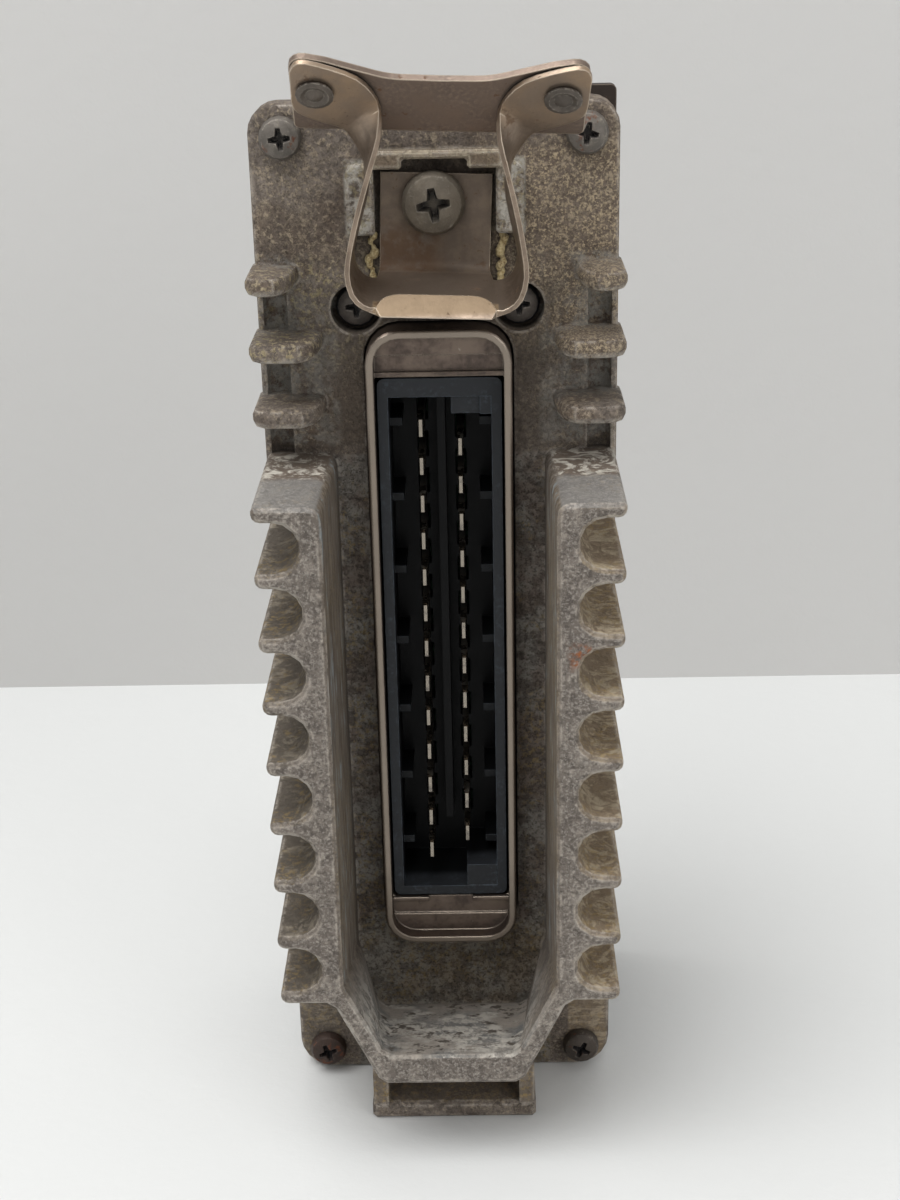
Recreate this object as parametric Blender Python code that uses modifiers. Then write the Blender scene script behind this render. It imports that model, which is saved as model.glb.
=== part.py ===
"""Engine control unit: finned die-cast front, plug socket with a spring latch, and a shallow rear cover.

Metres, +Z up. The socket faces -Y, the width runs along X, and the unit stands on Z = 0.
While the pieces are made, Y = 0 is the front plane of the casting's plate and X = 0 is its middle.
One empty then carries everything to the centre of the finished outline.
"""
import bmesh
import bpy
import math
from mathutils import Matrix, Vector

MM = 0.001

# Fits
GAP = 0.3 * MM
THREAD_CLEARANCE = 0.3 * MM
WELD = 0.5 * MM

# Contacts: two staggered rows of flat blades
PIN_PITCH = 5.0 * MM
PIN_ROW_X = 2.45 * MM
LEFT_PIN_COUNT = 13
RIGHT_PIN_COUNT = 12
PIN_WIDTH = 2.8 * MM
PIN_THICKNESS = 0.8 * MM
PIN_RECESS = 0.7 * MM
PIN_TIP_LENGTH = 0.7 * MM
PIN_TIP_WIDTH = 2.2 * MM
PIN_TIP_THICKNESS = 0.42 * MM
PIN_TAIL_WIDTH = 0.9 * MM
PIN_TAIL_THICKNESS = 0.5 * MM
PIN_TAIL_BEYOND_BOARD = 1.3 * MM

# Plastic socket
SOCKET_CENTRE_Z = 66.2 * MM
SOCKET_HALF_WIDTH = 7.7 * MM
SOCKET_END_MARGIN = 6.6 * MM
SOCKET_FRONT = -1.6 * MM
SOCKET_WALL = 1.3 * MM
SOCKET_TOP_WALL = 2.4 * MM
SOCKET_CORNER = 0.9 * MM
SOCKET_FLOOR = 8.9 * MM
SOCKET_FLOOR_THICKNESS = 2.6 * MM
SOCKET_FLANGE_THICKNESS = 1.5 * MM
SOCKET_FLANGE_WIDTH = 3.3 * MM
SOCKET_FLANGE_RISE = 4.9 * MM
SIDE_RIB_PITCH = 10.0 * MM
SIDE_RIB_COUNT = 7
SIDE_RIB_REACH = 1.5 * MM
SIDE_RIB_THICKNESS = 1.0 * MM
SIDE_RIB_FRONT = 2.2 * MM
CENTRE_RIB_HALF = 0.55 * MM
CENTRE_RIB_FRONT = 5.0 * MM
CENTRE_RIB_END = 7.1 * MM
KEY_INNER = 1.4 * MM
KEY_OUTER = 5.0 * MM
KEY_DROP = 2.3 * MM
KEY_RECESS = 0.6 * MM
STOP_INNER = 2.3 * MM
STOP_HEIGHT = 3.2 * MM

# Metal collar round the socket
COLLAR_WALL = 1.0 * MM
COLLAR_END_SHELF = 5.25 * MM
COLLAR_RADIUS = 4.2 * MM
COLLAR_PROUD = 3.8 * MM
COLLAR_EDGE_ROUND = 0.25 * MM
COLLAR_SHELF_FRONT = -1.8 * MM
COLLAR_STEP_FRONT = -1.4 * MM
COLLAR_STEP_MARGIN = 2.6 * MM
COLLAR_SHEET = 1.0 * MM
COLLAR_LIP_PROUD = 0.6 * MM
COLLAR_LIP_HEIGHT = 0.6 * MM
COLLAR_LIP_SLOT_HALF = 3.0 * MM
FLANGE_MARGIN = 2.5 * MM
FLANGE_END_MARGIN = 4.5 * MM
FLANGE_EAR_MARGIN = 3.4 * MM
FLANGE_EAR_DROP = 4.2 * MM
FLANGE_CORNER = 2.5 * MM
SEAL_THICKNESS = 0.6 * MM

# Screws of the socket, sunk in counterbores beside the latch
SOCKET_SCREW_X = 10.0 * MM
SOCKET_SCREW_RISE = 1.85 * MM
SOCKET_BORE_RADIUS = 3.1 * MM
SOCKET_BORE_DEPTH = 3.0 * MM
SOCKET_HEAD_RADIUS = 2.6 * MM
SOCKET_HEAD_HEIGHT = 1.8 * MM
SOCKET_SHANK_RADIUS = 1.3 * MM

# Recesses in the screws' heads, as shares of the head's radius, and of its height for the bottom
CROSS_REACH = 0.6
CROSS_TIP = 0.12
CROSS_ROOT = 0.19
CROSS_FLOOR = 0.55
CROSS_BOTTOM = 0.25

# Latch pocket, the two rails beside the tongue, and the ridge over it with a leg at each end
POCKET_HALF_WIDTH = 10.4 * MM
POCKET_RISE = 2.4 * MM
POCKET_HEIGHT = 15.7 * MM
POCKET_DEPTH = 1.5 * MM
POCKET_CORNER = 1.0 * MM
RAIL_INNER = 7.3 * MM
RAIL_START = 6.7 * MM
RAIL_LENGTH = 8.5 * MM
RAIL_PROUD = 0.9 * MM
RAIL_CORNER = 1.3 * MM
RAIL_LAP = 0.5 * MM
RIDGE_HALF_WIDTH = 8.2 * MM
RIDGE_HEIGHT = 1.0 * MM
RIDGE_PROUD = 1.4 * MM
RIDGE_LEG_INNER = 3.9 * MM
RIDGE_LEG_DROP = 1.15 * MM
RAIL_ROUND = 0.3 * MM

# Plate of the front casting
PLATE_SIDE_MARGIN = 8.7 * MM
PLATE_ABOVE_POCKET = 6.5 * MM
PLATE_THICKNESS = 5.0 * MM
PLATE_TOP_RADIUS = 3.4 * MM
PLATE_BOTTOM_RADIUS = 4.5 * MM
PLATE_EDGE_ROUND = 0.7 * MM
NOTCH_RADIUS = 2.8 * MM
NOTCH_DEPTH = 1.9 * MM

# Finned shroud round the socket
SHROUD_REACH = 21.7 * MM
SHROUD_RISE = 26.8 * MM
SHROUD_TOP_RADIUS = 1.6 * MM
FIN_SET_BACK = 0.3 * MM
FIN_PITCH = 8.22 * MM
FIN_COUNT = 9
FIN_THICKNESS = 1.8 * MM
FIN_ROOT_WALL = 2.6 * MM
FIN_TIP_RADIUS = 1.0 * MM
FIN_TIP_CHAMFER = 0.35 * MM
SHROUD_EDGE_ROUND = 0.45 * MM
CHANNEL_SIDE_CLEARANCE = 4.1 * MM
CHANNEL_DRAFT = 0.6 * MM
CHANNEL_CORNER_FRONT = 28.0 * MM
CHANNEL_CORNER_BACK = 21.5 * MM
CHANNEL_FLOOR_FRONT = 17.4 * MM
CHANNEL_FLOOR_BACK = 10.7 * MM
CHANNEL_FLOOR_HALF_FRONT = 8.6 * MM
CHANNEL_FLOOR_HALF_BACK = 10.2 * MM
CHEEK_WALL = 2.4 * MM
CHEEK_ROUND = 0.8 * MM
FLOOR_WALL = 4.4 * MM

# Short cooling lugs above the shroud, from the lowest up: length at the plate, and the slanting inner
# end as shares of its set-back and of the reach
LUG_LENGTHS = (8.6 * MM, 8.6 * MM, 5.9 * MM)
LUG_SLANT = 2.3 * MM
LUG_REACH = 8.0 * MM
LUG_INNER_END = ((0, 0), (0.13, 0.5), (0.43, 0.82), (1, 1))
LUG_RISE = 7.7 * MM
LUG_PITCH = 8.1 * MM
LUG_PROUD = 0.6 * MM
LUG_THICKNESS = 2.4 * MM
LUG_CORNER = 2.2 * MM
LUG_ROUND = 0.85 * MM
GROOVE_INSET = 2.25 * MM
GROOVE_RADIUS = 1.45 * MM
GROOVE_CORNER = 1.1 * MM

# Foot under the shroud, which holds the toe of the plug
FOOT_HALF_WIDTH = 11.3 * MM
FOOT_REACH = 12.0 * MM
FOOT_LIP = 2.6 * MM
FOOT_SIDE_WALL = 2.3 * MM
FOOT_WALL_INSET = 0.2 * MM
FOOT_EDGE_ROUND = 0.5 * MM

# Corner screws
CORNER_SCREW_INSET_X = 4.0 * MM
CORNER_SCREW_INSET_Z = 3.8 * MM
CORNER_HEAD_RADIUS = 2.55 * MM
CORNER_HEAD_HEIGHT = 1.9 * MM
CORNER_SHANK_RADIUS = 1.45 * MM
CORNER_SHANK_LENGTH = 13.0 * MM
CORNER_CROSS_TURNS = (math.radians(20), math.radians(6), math.radians(-25), math.radians(-10))

# Latch clamp screw, and the boss that it goes into
CLAMP_SCREW_X = -0.2 * MM
CLAMP_SCREW_RISE = 10.4 * MM
CLAMP_CROSS_TURN = math.radians(8)
CLAMP_HEAD_RADIUS = 3.8 * MM
CLAMP_HEAD_HEIGHT = 2.7 * MM
CLAMP_SHANK_RADIUS = 2.0 * MM
CLAMP_SHANK_LENGTH = 7.6 * MM
CLAMP_BOSS_WALL = 2.1 * MM
CLAMP_BOSS_FLOOR = 1.7 * MM

# Latch spring, folded from one sheet and bent a little to the right; heights are from the clamp screw
SHEET = 0.6 * MM
LATCH_X = 0.1 * MM
LATCH_TURN = math.radians(2.3)
LATCH_LEAN = 0.033
TONGUE_HALF_WIDTH = 6.7 * MM
TONGUE_TOP = 3.4 * MM
TONGUE_BEND_RADIUS = 1.4 * MM
SHELF_HALF_WIDTH = 7.0 * MM
SHELF_FRONT = -11.0 * MM
SHELF_FRONT_Z = -10.8 * MM
SHELF_SLOPE = math.radians(12.5)
SHELF_CUT = -2.6 * MM
LIP_LENGTH = 2.2 * MM
LIP_LEAN = math.radians(44)
LIP_FLAT_HALF = 4.2 * MM
LIP_FOOT_HALF = 7.05 * MM
COLUMNS = (0, 0.35, 0.6, 0.72, 0.83, 0.92, 1)
RIBBON_STEPS = 3
STATION_STEPS = 2

# Side arm of the latch, front edge then back edge, from the shelf up to the neck
ARM_STATIONS = (
    ((8.5 * MM, -10.9 * MM, -10.4 * MM), (8.2 * MM, -2.9 * MM, -8.7 * MM)),
    ((9.8 * MM, -10.9 * MM, -9.1 * MM), (9.5 * MM, -3.0 * MM, -7.6 * MM)),
    ((10.4 * MM, -10.9 * MM, -6.5 * MM), (10.0 * MM, -3.0 * MM, -5.3 * MM)),
    ((10.0 * MM, -10.9 * MM, -3.4 * MM), (9.4 * MM, -3.0 * MM, -2.7 * MM)),
    ((9.3 * MM, -10.9 * MM, -0.2 * MM), (8.7 * MM, -3.1 * MM, 0.0 * MM)),
    ((8.5 * MM, -10.8 * MM, 2.9 * MM), (8.2 * MM, -3.2 * MM, 2.8 * MM)),
    ((7.6 * MM, -10.6 * MM, 6.0 * MM), (8.4 * MM, -3.6 * MM, 5.3 * MM)),
    ((6.8 * MM, -10.2 * MM, 8.9 * MM), (9.3 * MM, -4.9 * MM, 7.4 * MM)),
)
# Ear of the latch in its own leaning plane, as across and up the slope: top edge, then bottom edge
EAR_LEAN = math.radians(44)
EAR_FOOT_Y = -8.5 * MM
EAR_FOOT_Z = 10.85 * MM
EAR_STATIONS = (
    ((6.7 * MM, 1.6 * MM), (10.5 * MM, -2.2 * MM)),
    ((7.5 * MM, 4.4 * MM), (11.6 * MM, -1.3 * MM)),
    ((9.2 * MM, 6.7 * MM), (12.9 * MM, -0.8 * MM)),
    ((12.0 * MM, 8.2 * MM), (14.2 * MM, -0.2 * MM)),
    ((14.9 * MM, 9.2 * MM), (15.4 * MM, 0.5 * MM)),
    ((16.1 * MM, 8.8 * MM), (16.3 * MM, 1.4 * MM)),
    ((16.6 * MM, 7.6 * MM), (16.6 * MM, 2.8 * MM)),
)

# Lever plate behind the ears, in the ears' plane, and the two rivets that hold it
LEVER_HALF_WIDTH = 16.6 * MM
LEVER_BOTTOM = -2.9 * MM
LEVER_MIDDLE = 5.8 * MM
LEVER_KNEE = (5.6 * MM, 5.9 * MM)
LEVER_KNEE_RADIUS = 9.0 * MM
LEVER_HIP = (12.6 * MM, 8.5 * MM)
LEVER_HIP_RADIUS = 6.0 * MM
LEVER_TOP = 9.4 * MM
LEVER_CORNER = 1.6 * MM
LEVER_SHEET = 0.8 * MM
RIVET_X = 13.8 * MM
RIVET_Z = 4.5 * MM
RIVET_SHANK_RADIUS = 1.0 * MM
RIVET_BRIM_RADIUS = 2.15 * MM
RIVET_BRIM_HEIGHT = 0.4 * MM
RIVET_NUB_RADIUS = 1.05 * MM
RIVET_NUB_HEIGHT = 0.6 * MM
RIVET_NUB_SHOULDER = 0.5 * MM
RIVET_DISH_HEIGHT = 0.15 * MM
RIVET_TAIL_RADIUS = 1.6 * MM
RIVET_TAIL_CHAMFER = 0.3 * MM
RIVET_TAIL_HEIGHT = 0.5 * MM

# Rear cover
COVER_DEPTH = 21.8 * MM
COVER_WALL = 2.0 * MM
COVER_INSET_SIDE = 0.4 * MM
COVER_INSET_TOP = 0.5 * MM
COVER_DRAFT_SIDE = 1.2 * MM
COVER_DRAFT_TOP = 3.0 * MM
COVER_RADIUS = 4.0 * MM
COVER_EDGE_ROUND = 0.8 * MM
COVER_BOSS_WALL = 1.55 * MM
COVER_BOSS_LENGTH = 11.0 * MM
COVER_SEAL_INSET = 0.7 * MM
COVER_SEAL_WIDTH = 2.0 * MM

# Mounting plate on the cover's back
MOUNT_LEFT = -12.0 * MM
MOUNT_OVERHANG = 1.6 * MM
MOUNT_BOTTOM = 4.0 * MM
MOUNT_TOP_INSET = 1.7 * MM
MOUNT_THICKNESS = 1.5 * MM
MOUNT_CORNER = 0.8 * MM
MOUNT_SCREW_ENDS = 20.0 * MM
MOUNT_SCREW_HEAD_RADIUS = 2.7 * MM
MOUNT_SCREW_SHANK_RADIUS = 1.3 * MM
MOUNT_SCREW_LENGTH = 6.0 * MM
MOUNT_BOSS_WALL = 1.4 * MM
MOUNT_BOSS_LENGTH = 5.0 * MM

# Circuit board, its posts and screws
BOARD_STANDOFF = 1.3 * MM
BOARD_THICKNESS = 1.6 * MM
BOARD_SIDE_CLEARANCE = 1.3 * MM
BOARD_END_CLEARANCE = 8.6 * MM
BOARD_CORNER = 1.0 * MM
POST_INSET_X = 4.4 * MM
POST_INSET_Z = 5.7 * MM
POST_WALL = 1.4 * MM
BOARD_SCREW_SHANK = 1.1 * MM
BOARD_SCREW_HEAD = 2.3 * MM
BOARD_SCREW_HEAD_HEIGHT = 1.4 * MM
BOARD_SCREW_LENGTH = 5.0 * MM

# Parts on the circuit board
TRANSISTOR_WIDTH = 6.5 * MM
TRANSISTOR_HEIGHT = 10.8 * MM
TRANSISTOR_DEPTH = 2.7 * MM
TRANSISTOR_INSET = 3.2 * MM
TRANSISTOR_Z = 70.0 * MM
LEG_WIDTH = 0.6 * MM
LEG_THICKNESS = 0.5 * MM
LEG_PITCH = 1.8 * MM
LEG_DROP = 2.3 * MM
LEG_BEYOND_BOARD = 0.8 * MM
CHIP_SIZE = 12.0 * MM
CHIP_DEPTH = 3.0 * MM
CHIP_X = 10.2 * MM
CHIP_Z = 86.0 * MM
MEMORY_WIDTH = 7.0 * MM
MEMORY_LENGTH = 16.0 * MM
MEMORY_DEPTH = 3.0 * MM
MEMORY_X = -9.5 * MM
MEMORY_Z = 84.0 * MM
CHIP_ROUND = 0.3 * MM
CAPACITOR_RADIUS = 5.0 * MM
CAPACITOR_HEIGHT = 10.6 * MM
CAPACITOR_X = 10.6 * MM
CAPACITOR_Z = 34.0 * MM
CHOKE_RADIUS = 5.6 * MM
CHOKE_HOLE = 2.4 * MM
CHOKE_DEPTH = 4.6 * MM
CHOKE_X = -10.4 * MM
CHOKE_Z = 52.0 * MM
CRYSTAL_WIDTH = 10.0 * MM
CRYSTAL_HEIGHT = 4.4 * MM
CRYSTAL_DEPTH = 3.4 * MM
CRYSTAL_CORNER = 2.0 * MM
CRYSTAL_RISE = 14.5 * MM

# Heights and widths that follow from the sizes above
SOCKET_HALF_HEIGHT = (LEFT_PIN_COUNT - 1) / 2 * PIN_PITCH + SOCKET_END_MARGIN
COLLAR_INNER_HALF = SOCKET_HALF_WIDTH + GAP
COLLAR_INNER_RISE = SOCKET_HALF_HEIGHT + GAP + COLLAR_END_SHELF
COLLAR_HALF_WIDTH = COLLAR_INNER_HALF + COLLAR_WALL
COLLAR_HALF_HEIGHT = COLLAR_INNER_RISE + COLLAR_WALL
SOCKET_SCREW_Z = SOCKET_CENTRE_Z + COLLAR_HALF_HEIGHT + SOCKET_SCREW_RISE
POCKET_BOTTOM = SOCKET_SCREW_Z + POCKET_RISE
POCKET_TOP = POCKET_BOTTOM + POCKET_HEIGHT
CLAMP_SCREW_Z = POCKET_BOTTOM + CLAMP_SCREW_RISE
PLATE_HEIGHT = POCKET_TOP + PLATE_ABOVE_POCKET
SHROUD_TOP = SOCKET_CENTRE_Z + SHROUD_RISE
LUG_TOPS = [SHROUD_TOP + LUG_RISE + index * LUG_PITCH for index in range(len(LUG_LENGTHS))]
FLANGE_BOTTOM = SOCKET_CENTRE_Z - COLLAR_HALF_HEIGHT - FLANGE_END_MARGIN
FLANGE_HALF_WIDTH = COLLAR_HALF_WIDTH + FLANGE_MARGIN
FLANGE_EAR_HALF = SOCKET_SCREW_X + FLANGE_EAR_MARGIN
PLATE_HALF_WIDTH = FLANGE_EAR_HALF + PLATE_SIDE_MARGIN
LUG_OUTER = PLATE_HALF_WIDTH + LUG_PROUD
GROOVE_CENTRE = PLATE_HALF_WIDTH - GROOVE_INSET
FIN_HALF_WIDTH = PLATE_HALF_WIDTH - FIN_SET_BACK
CHANNEL_HALF_BACK = COLLAR_HALF_WIDTH + CHANNEL_SIDE_CLEARANCE
CHANNEL_HALF_FRONT = CHANNEL_HALF_BACK + CHANNEL_DRAFT
FIN_ROOT = CHANNEL_HALF_FRONT + FIN_ROOT_WALL
CORNER_SCREW_X = PLATE_HALF_WIDTH - CORNER_SCREW_INSET_X
CORNER_SCREWS = [(side * CORNER_SCREW_X, z) for side in (-1, 1)
                 for z in (CORNER_SCREW_INSET_Z, PLATE_HEIGHT - CORNER_SCREW_INSET_Z)]
COVER_FRONT_HALF = PLATE_HALF_WIDTH - COVER_INSET_SIDE
COVER_FRONT_TOP = PLATE_HEIGHT - COVER_INSET_TOP
COVER_BACK_HALF = COVER_FRONT_HALF - COVER_DRAFT_SIDE
COVER_BACK_TOP = COVER_FRONT_TOP - COVER_DRAFT_TOP
MOUNT_RIGHT = PLATE_HALF_WIDTH + MOUNT_OVERHANG
MOUNT_TOP = PLATE_HEIGHT - MOUNT_TOP_INSET
MOUNT_SCREW_X = (MOUNT_LEFT + MOUNT_RIGHT) / 2
MOUNT_SCREW_HEIGHTS = (MOUNT_BOTTOM + MOUNT_SCREW_ENDS, MOUNT_TOP - MOUNT_SCREW_ENDS)
BOARD_HALF_WIDTH = COVER_FRONT_HALF - COVER_WALL - BOARD_SIDE_CLEARANCE
BOARD_BOTTOM = BOARD_END_CLEARANCE
BOARD_TOP = PLATE_HEIGHT - BOARD_END_CLEARANCE
POSTS = [(side * (BOARD_HALF_WIDTH - POST_INSET_X), z) for side in (-1, 1)
         for z in (BOARD_BOTTOM + POST_INSET_Z, BOARD_TOP - POST_INSET_Z)]
TRANSISTOR_X = BOARD_HALF_WIDTH - TRANSISTOR_INSET
CRYSTAL_Z = BOARD_TOP - CRYSTAL_RISE

# Depths that follow from the sizes above, from the front back
SEAL_FRONT = PLATE_THICKNESS + GAP
SEAL_BACK = SEAL_FRONT + SEAL_THICKNESS
COVER_FRONT = SEAL_BACK + GAP
COVER_BACK = COVER_FRONT + COVER_DEPTH
MOUNT_FRONT = COVER_BACK + GAP
MOUNT_BACK = MOUNT_FRONT + MOUNT_THICKNESS
FLANGE_FRONT = SEAL_BACK + GAP
FLANGE_BACK = FLANGE_FRONT + COLLAR_SHEET
SOCKET_FLANGE_FRONT = FLANGE_BACK + GAP
SOCKET_BACK = SOCKET_FLOOR + SOCKET_FLOOR_THICKNESS
PIN_SHOULDER = SOCKET_BACK + WELD
BOARD_FRONT = SOCKET_BACK + BOARD_STANDOFF
BOARD_BACK = BOARD_FRONT + BOARD_THICKNESS
ABOVE_BOARD = BOARD_BACK + GAP
TONGUE_FRONT = POCKET_DEPTH - GAP - SHEET
CLAMP_SEAT = TONGUE_FRONT - GAP
CLAMP_HOLE_END = CLAMP_SEAT + CLAMP_SHANK_LENGTH + GAP
SOCKET_SCREW_SEAT = SOCKET_BORE_DEPTH - GAP
SOCKET_SHANK_LENGTH = FLANGE_BACK - SOCKET_SCREW_SEAT + MM

# Colours: red, green, blue; roughness; metallic
FINISHES = {
    "cast_aluminium": ((0.27, 0.235, 0.20), 0.75, 0.6),
    "painted_cover": ((0.10, 0.09, 0.085), 0.6, 0.3),
    "spring_steel": ((0.45, 0.34, 0.22), 0.35, 0.9),
    "plated_steel": ((0.36, 0.31, 0.27), 0.4, 0.9),
    "screw_steel": ((0.28, 0.26, 0.24), 0.5, 0.8),
    "black_plastic": ((0.02, 0.022, 0.025), 0.45, 0.0),
    "tinned_brass": ((0.7, 0.68, 0.62), 0.3, 1.0),
    "rubber": ((0.03, 0.03, 0.03), 0.9, 0.0),
    "board_laminate": ((0.06, 0.20, 0.10), 0.5, 0.0),
    "can_metal": ((0.6, 0.6, 0.62), 0.35, 1.0),
}

unit = {}


def set_up():
    """Empties the scene, then makes the collections and the empties that carry the pieces."""
    for item in list(bpy.data.objects):
        bpy.data.objects.remove(item, do_unlink=True)
    for role, name in (("parts", "engine_control_unit"), ("cutters", "cutters")):
        unit[role] = bpy.data.collections.new(name)
        bpy.context.scene.collection.children.link(unit[role])
    centre = Vector(((LUG_OUTER - MOUNT_RIGHT) / 2, (SHROUD_REACH - MOUNT_BACK) / 2, 0))
    unit["body"] = add_empty("unit_origin", None, Matrix.Translation(centre))
    turn = Matrix.Translation((LATCH_X, 0, CLAMP_SCREW_Z)) @ Matrix.Rotation(LATCH_TURN, 4, "Y")
    unit["latch"] = add_empty("latch_turn", unit["body"], turn)
    foot = Matrix.Translation((lean_at(EAR_FOOT_Y), EAR_FOOT_Y, EAR_FOOT_Z))
    unit["ears"] = add_empty("ear_plane", unit["latch"], foot @ Matrix.Rotation(EAR_LEAN, 4, "X"))


def add_empty(name, parent, matrix):
    """Adds an empty that other pieces hang from."""
    empty = bpy.data.objects.new(name, None)
    unit["parts"].objects.link(empty)
    empty.parent = parent
    empty.matrix_basis = matrix
    return empty


def finish_material(name):
    """The named finish as a Principled material, made on first use."""
    if name in bpy.data.materials:
        return bpy.data.materials[name]
    colour, roughness, metallic = FINISHES[name]
    material = bpy.data.materials.new(name)
    material.use_nodes = True
    shader = material.node_tree.nodes["Principled BSDF"]
    shader.inputs["Base Color"].default_value = (*colour, 1)
    shader.inputs["Roughness"].default_value = roughness
    shader.inputs["Metallic"].default_value = metallic
    return material


def mesh_of(name, shapes):
    """One mesh from a list of bmeshes, smooth where its faces meet gently."""
    mesh = bpy.data.meshes.new(name)
    whole = bmesh.new()
    for shape in shapes:
        shape.to_mesh(mesh)
        whole.from_mesh(mesh)
        shape.free()
    bmesh.ops.recalc_face_normals(whole, faces=whole.faces)
    whole.to_mesh(mesh)
    whole.free()
    mesh.shade_smooth()
    mesh.set_sharp_from_angle(angle=math.radians(35))
    return mesh


def add_part(name, mesh, finish, carrier="body", place=(0, 0, 0)):
    """Adds a named piece of the unit."""
    item = bpy.data.objects.new(name, mesh)
    unit["parts"].objects.link(item)
    item.parent = unit[carrier]
    item.location = place
    if not mesh.materials:
        mesh.materials.append(finish_material(finish))
    return item


def add_cutter(name, mesh, carrier="body"):
    """Adds a wire-frame helper that Booleans read."""
    item = bpy.data.objects.new(name, mesh)
    unit["cutters"].objects.link(item)
    item.parent = unit[carrier]
    item.hide_render = True
    item.display_type = "WIRE"
    return item


def combine(target, operation, other):
    """Adds a Boolean modifier."""
    modifier = target.modifiers.new(other.name, "BOOLEAN")
    modifier.operation = operation
    modifier.object = other


def cut(target, name, shapes, carrier="body"):
    """Cuts closed shapes, none of which meet each other, out of an object."""
    combine(target, "DIFFERENCE", add_cutter(name, mesh_of(name, shapes), carrier))


def fuse(target, name, shapes, rounding=0.0, segments=1):
    """Joins closed shapes to an object, with their edges rounded first."""
    other = add_cutter(name, mesh_of(name, shapes))
    if rounding:
        round_edges(other, rounding, segments)
    combine(target, "UNION", other)


def round_edges(item, width, segments=2):
    """Rounds the sharp edges of an object."""
    modifier = item.modifiers.new("edges", "BEVEL")
    modifier.width = width
    modifier.segments = segments
    modifier.limit_method = "ANGLE"
    modifier.angle_limit = math.radians(50)


def extruded(points, reach):
    """Closed solid from a flat outline of points, extruded along a vector."""
    shape = bmesh.new()
    face = shape.faces.new([shape.verts.new(point) for point in points])
    moved = bmesh.ops.extrude_face_region(shape, geom=[face])["geom"]
    corners = [item for item in moved if isinstance(item, bmesh.types.BMVert)]
    bmesh.ops.translate(shape, vec=reach, verts=corners)
    return shape


def prism(outline, front_y, back_y):
    """Closed solid of one outline of x, z points between two planes of constant y."""
    return extruded([(x, front_y, z) for x, z in outline], (0, back_y - front_y, 0))


def loft(*sections):
    """Closed solid through unlike sections, each an outline of x, z points and its plane's y."""
    shape = bmesh.new()
    rings = [[shape.verts.new((x, y, z)) for x, z in outline] for outline, y in sections]
    shape.faces.new(rings[0])
    shape.faces.new(rings[-1])
    for first, second in zip(rings, rings[1:]):
        for index in range(len(first)):
            after = (index + 1) % len(first)
            shape.faces.new((first[index], first[after], second[after], second[index]))
    return shape


def box(low, high):
    """Closed box between two corners."""
    shape = bmesh.new()
    low, high = Vector(low), Vector(high)
    size = Matrix.Diagonal((*(high - low), 1))
    bmesh.ops.create_cube(shape, size=1, matrix=Matrix.Translation((low + high) / 2) @ size)
    return shape


def rod(x, z, radius, front_y, back_y, segments=24, back_radius=None):
    """Round bar along Y, or a cone if it has another back radius."""
    shape = bmesh.new()
    middle = Matrix.Translation((x, (front_y + back_y) / 2, z)) @ Matrix.Rotation(math.pi / 2, 4, "X")
    bmesh.ops.create_cone(shape, cap_ends=True, segments=segments, radius1=back_radius or radius,
                          radius2=radius, depth=back_y - front_y, matrix=middle)
    return shape


def arc(centre, radius, start, end, steps):
    """Points of an arc in degrees, both ends included."""
    angles = [math.radians(start + (end - start) * step / steps) for step in range(steps + 1)]
    return [(centre[0] + radius * math.cos(a), centre[1] + radius * math.sin(a)) for a in angles]


def rounded(corners, steps=4):
    """Outline from corners of x, z, radius, with each corner turned into an arc."""
    outline = []
    for index, (x, z, radius) in enumerate(corners):
        if not radius:
            outline.append((x, z))
            continue
        point = Vector((x, z))
        before = (Vector(corners[index - 1][:2]) - point).normalized()
        after = (Vector(corners[(index + 1) % len(corners)][:2]) - point).normalized()
        half_angle = before.angle(after) / 2
        centre = point + (before + after).normalized() * radius / math.sin(half_angle)
        reach = radius / math.tan(half_angle)
        first = (point + before * reach - centre).normalized()
        last = (point + after * reach - centre).normalized()
        for step in range(steps + 1):
            direction = first.slerp(last, step / steps).normalized()
            outline.append(tuple(centre + direction * radius))
    return outline


def rounded_box(x0, x1, z0, z1, radius, steps=4):
    """Rectangle with four equal round corners, from the bottom left one on."""
    return rounded([(x0, z0, radius), (x1, z0, radius), (x1, z1, radius), (x0, z1, radius)], steps)


def mirrored(outline):
    """Whole outline from its right half, which runs from the top to the bottom."""
    return outline + [(-x, z) for x, z in reversed(outline) if x]


def turned(name, profile, finish, x, z, seat_y, facing=-1, carrier="body", closed=False, steps=16):
    """Turned piece on an axis along Y, from a profile of radius and height above its seat, nose first."""
    mesh = bpy.data.meshes.new(name)
    edges = [(index, index + 1) for index in range(len(profile) - 1)]
    if closed:
        edges.append((len(profile) - 1, 0))
    mesh.from_pydata([(radius, 0, height) for radius, height in profile], edges, [])
    item = add_part(name, mesh, finish, carrier, (x, seat_y, z))
    item.rotation_euler.x = -facing * math.pi / 2
    spin = item.modifiers.new("turn", "SCREW")
    spin.steps = spin.render_steps = steps
    spin.use_merge_vertices = True
    spin.merge_threshold = 0.01 * MM
    return item


def shank_profile(radius, length):
    """Profile of a plain shank with a chamfered end, from its seat down."""
    chamfer = radius * 0.3
    return [(radius, 0), (radius, chamfer - length), (radius - chamfer, -length), (0, -length)]


def dome_profile(radius, height):
    """Profile of a domed head with a short upright rim, from its nose to its seat."""
    rim = height * 0.4
    dome = [(radius * math.sin(math.radians(a)), rim + (height - rim) * math.cos(math.radians(a)))
            for a in (0, 32, 62, 90)]
    return dome + [(radius, 0)]


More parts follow.
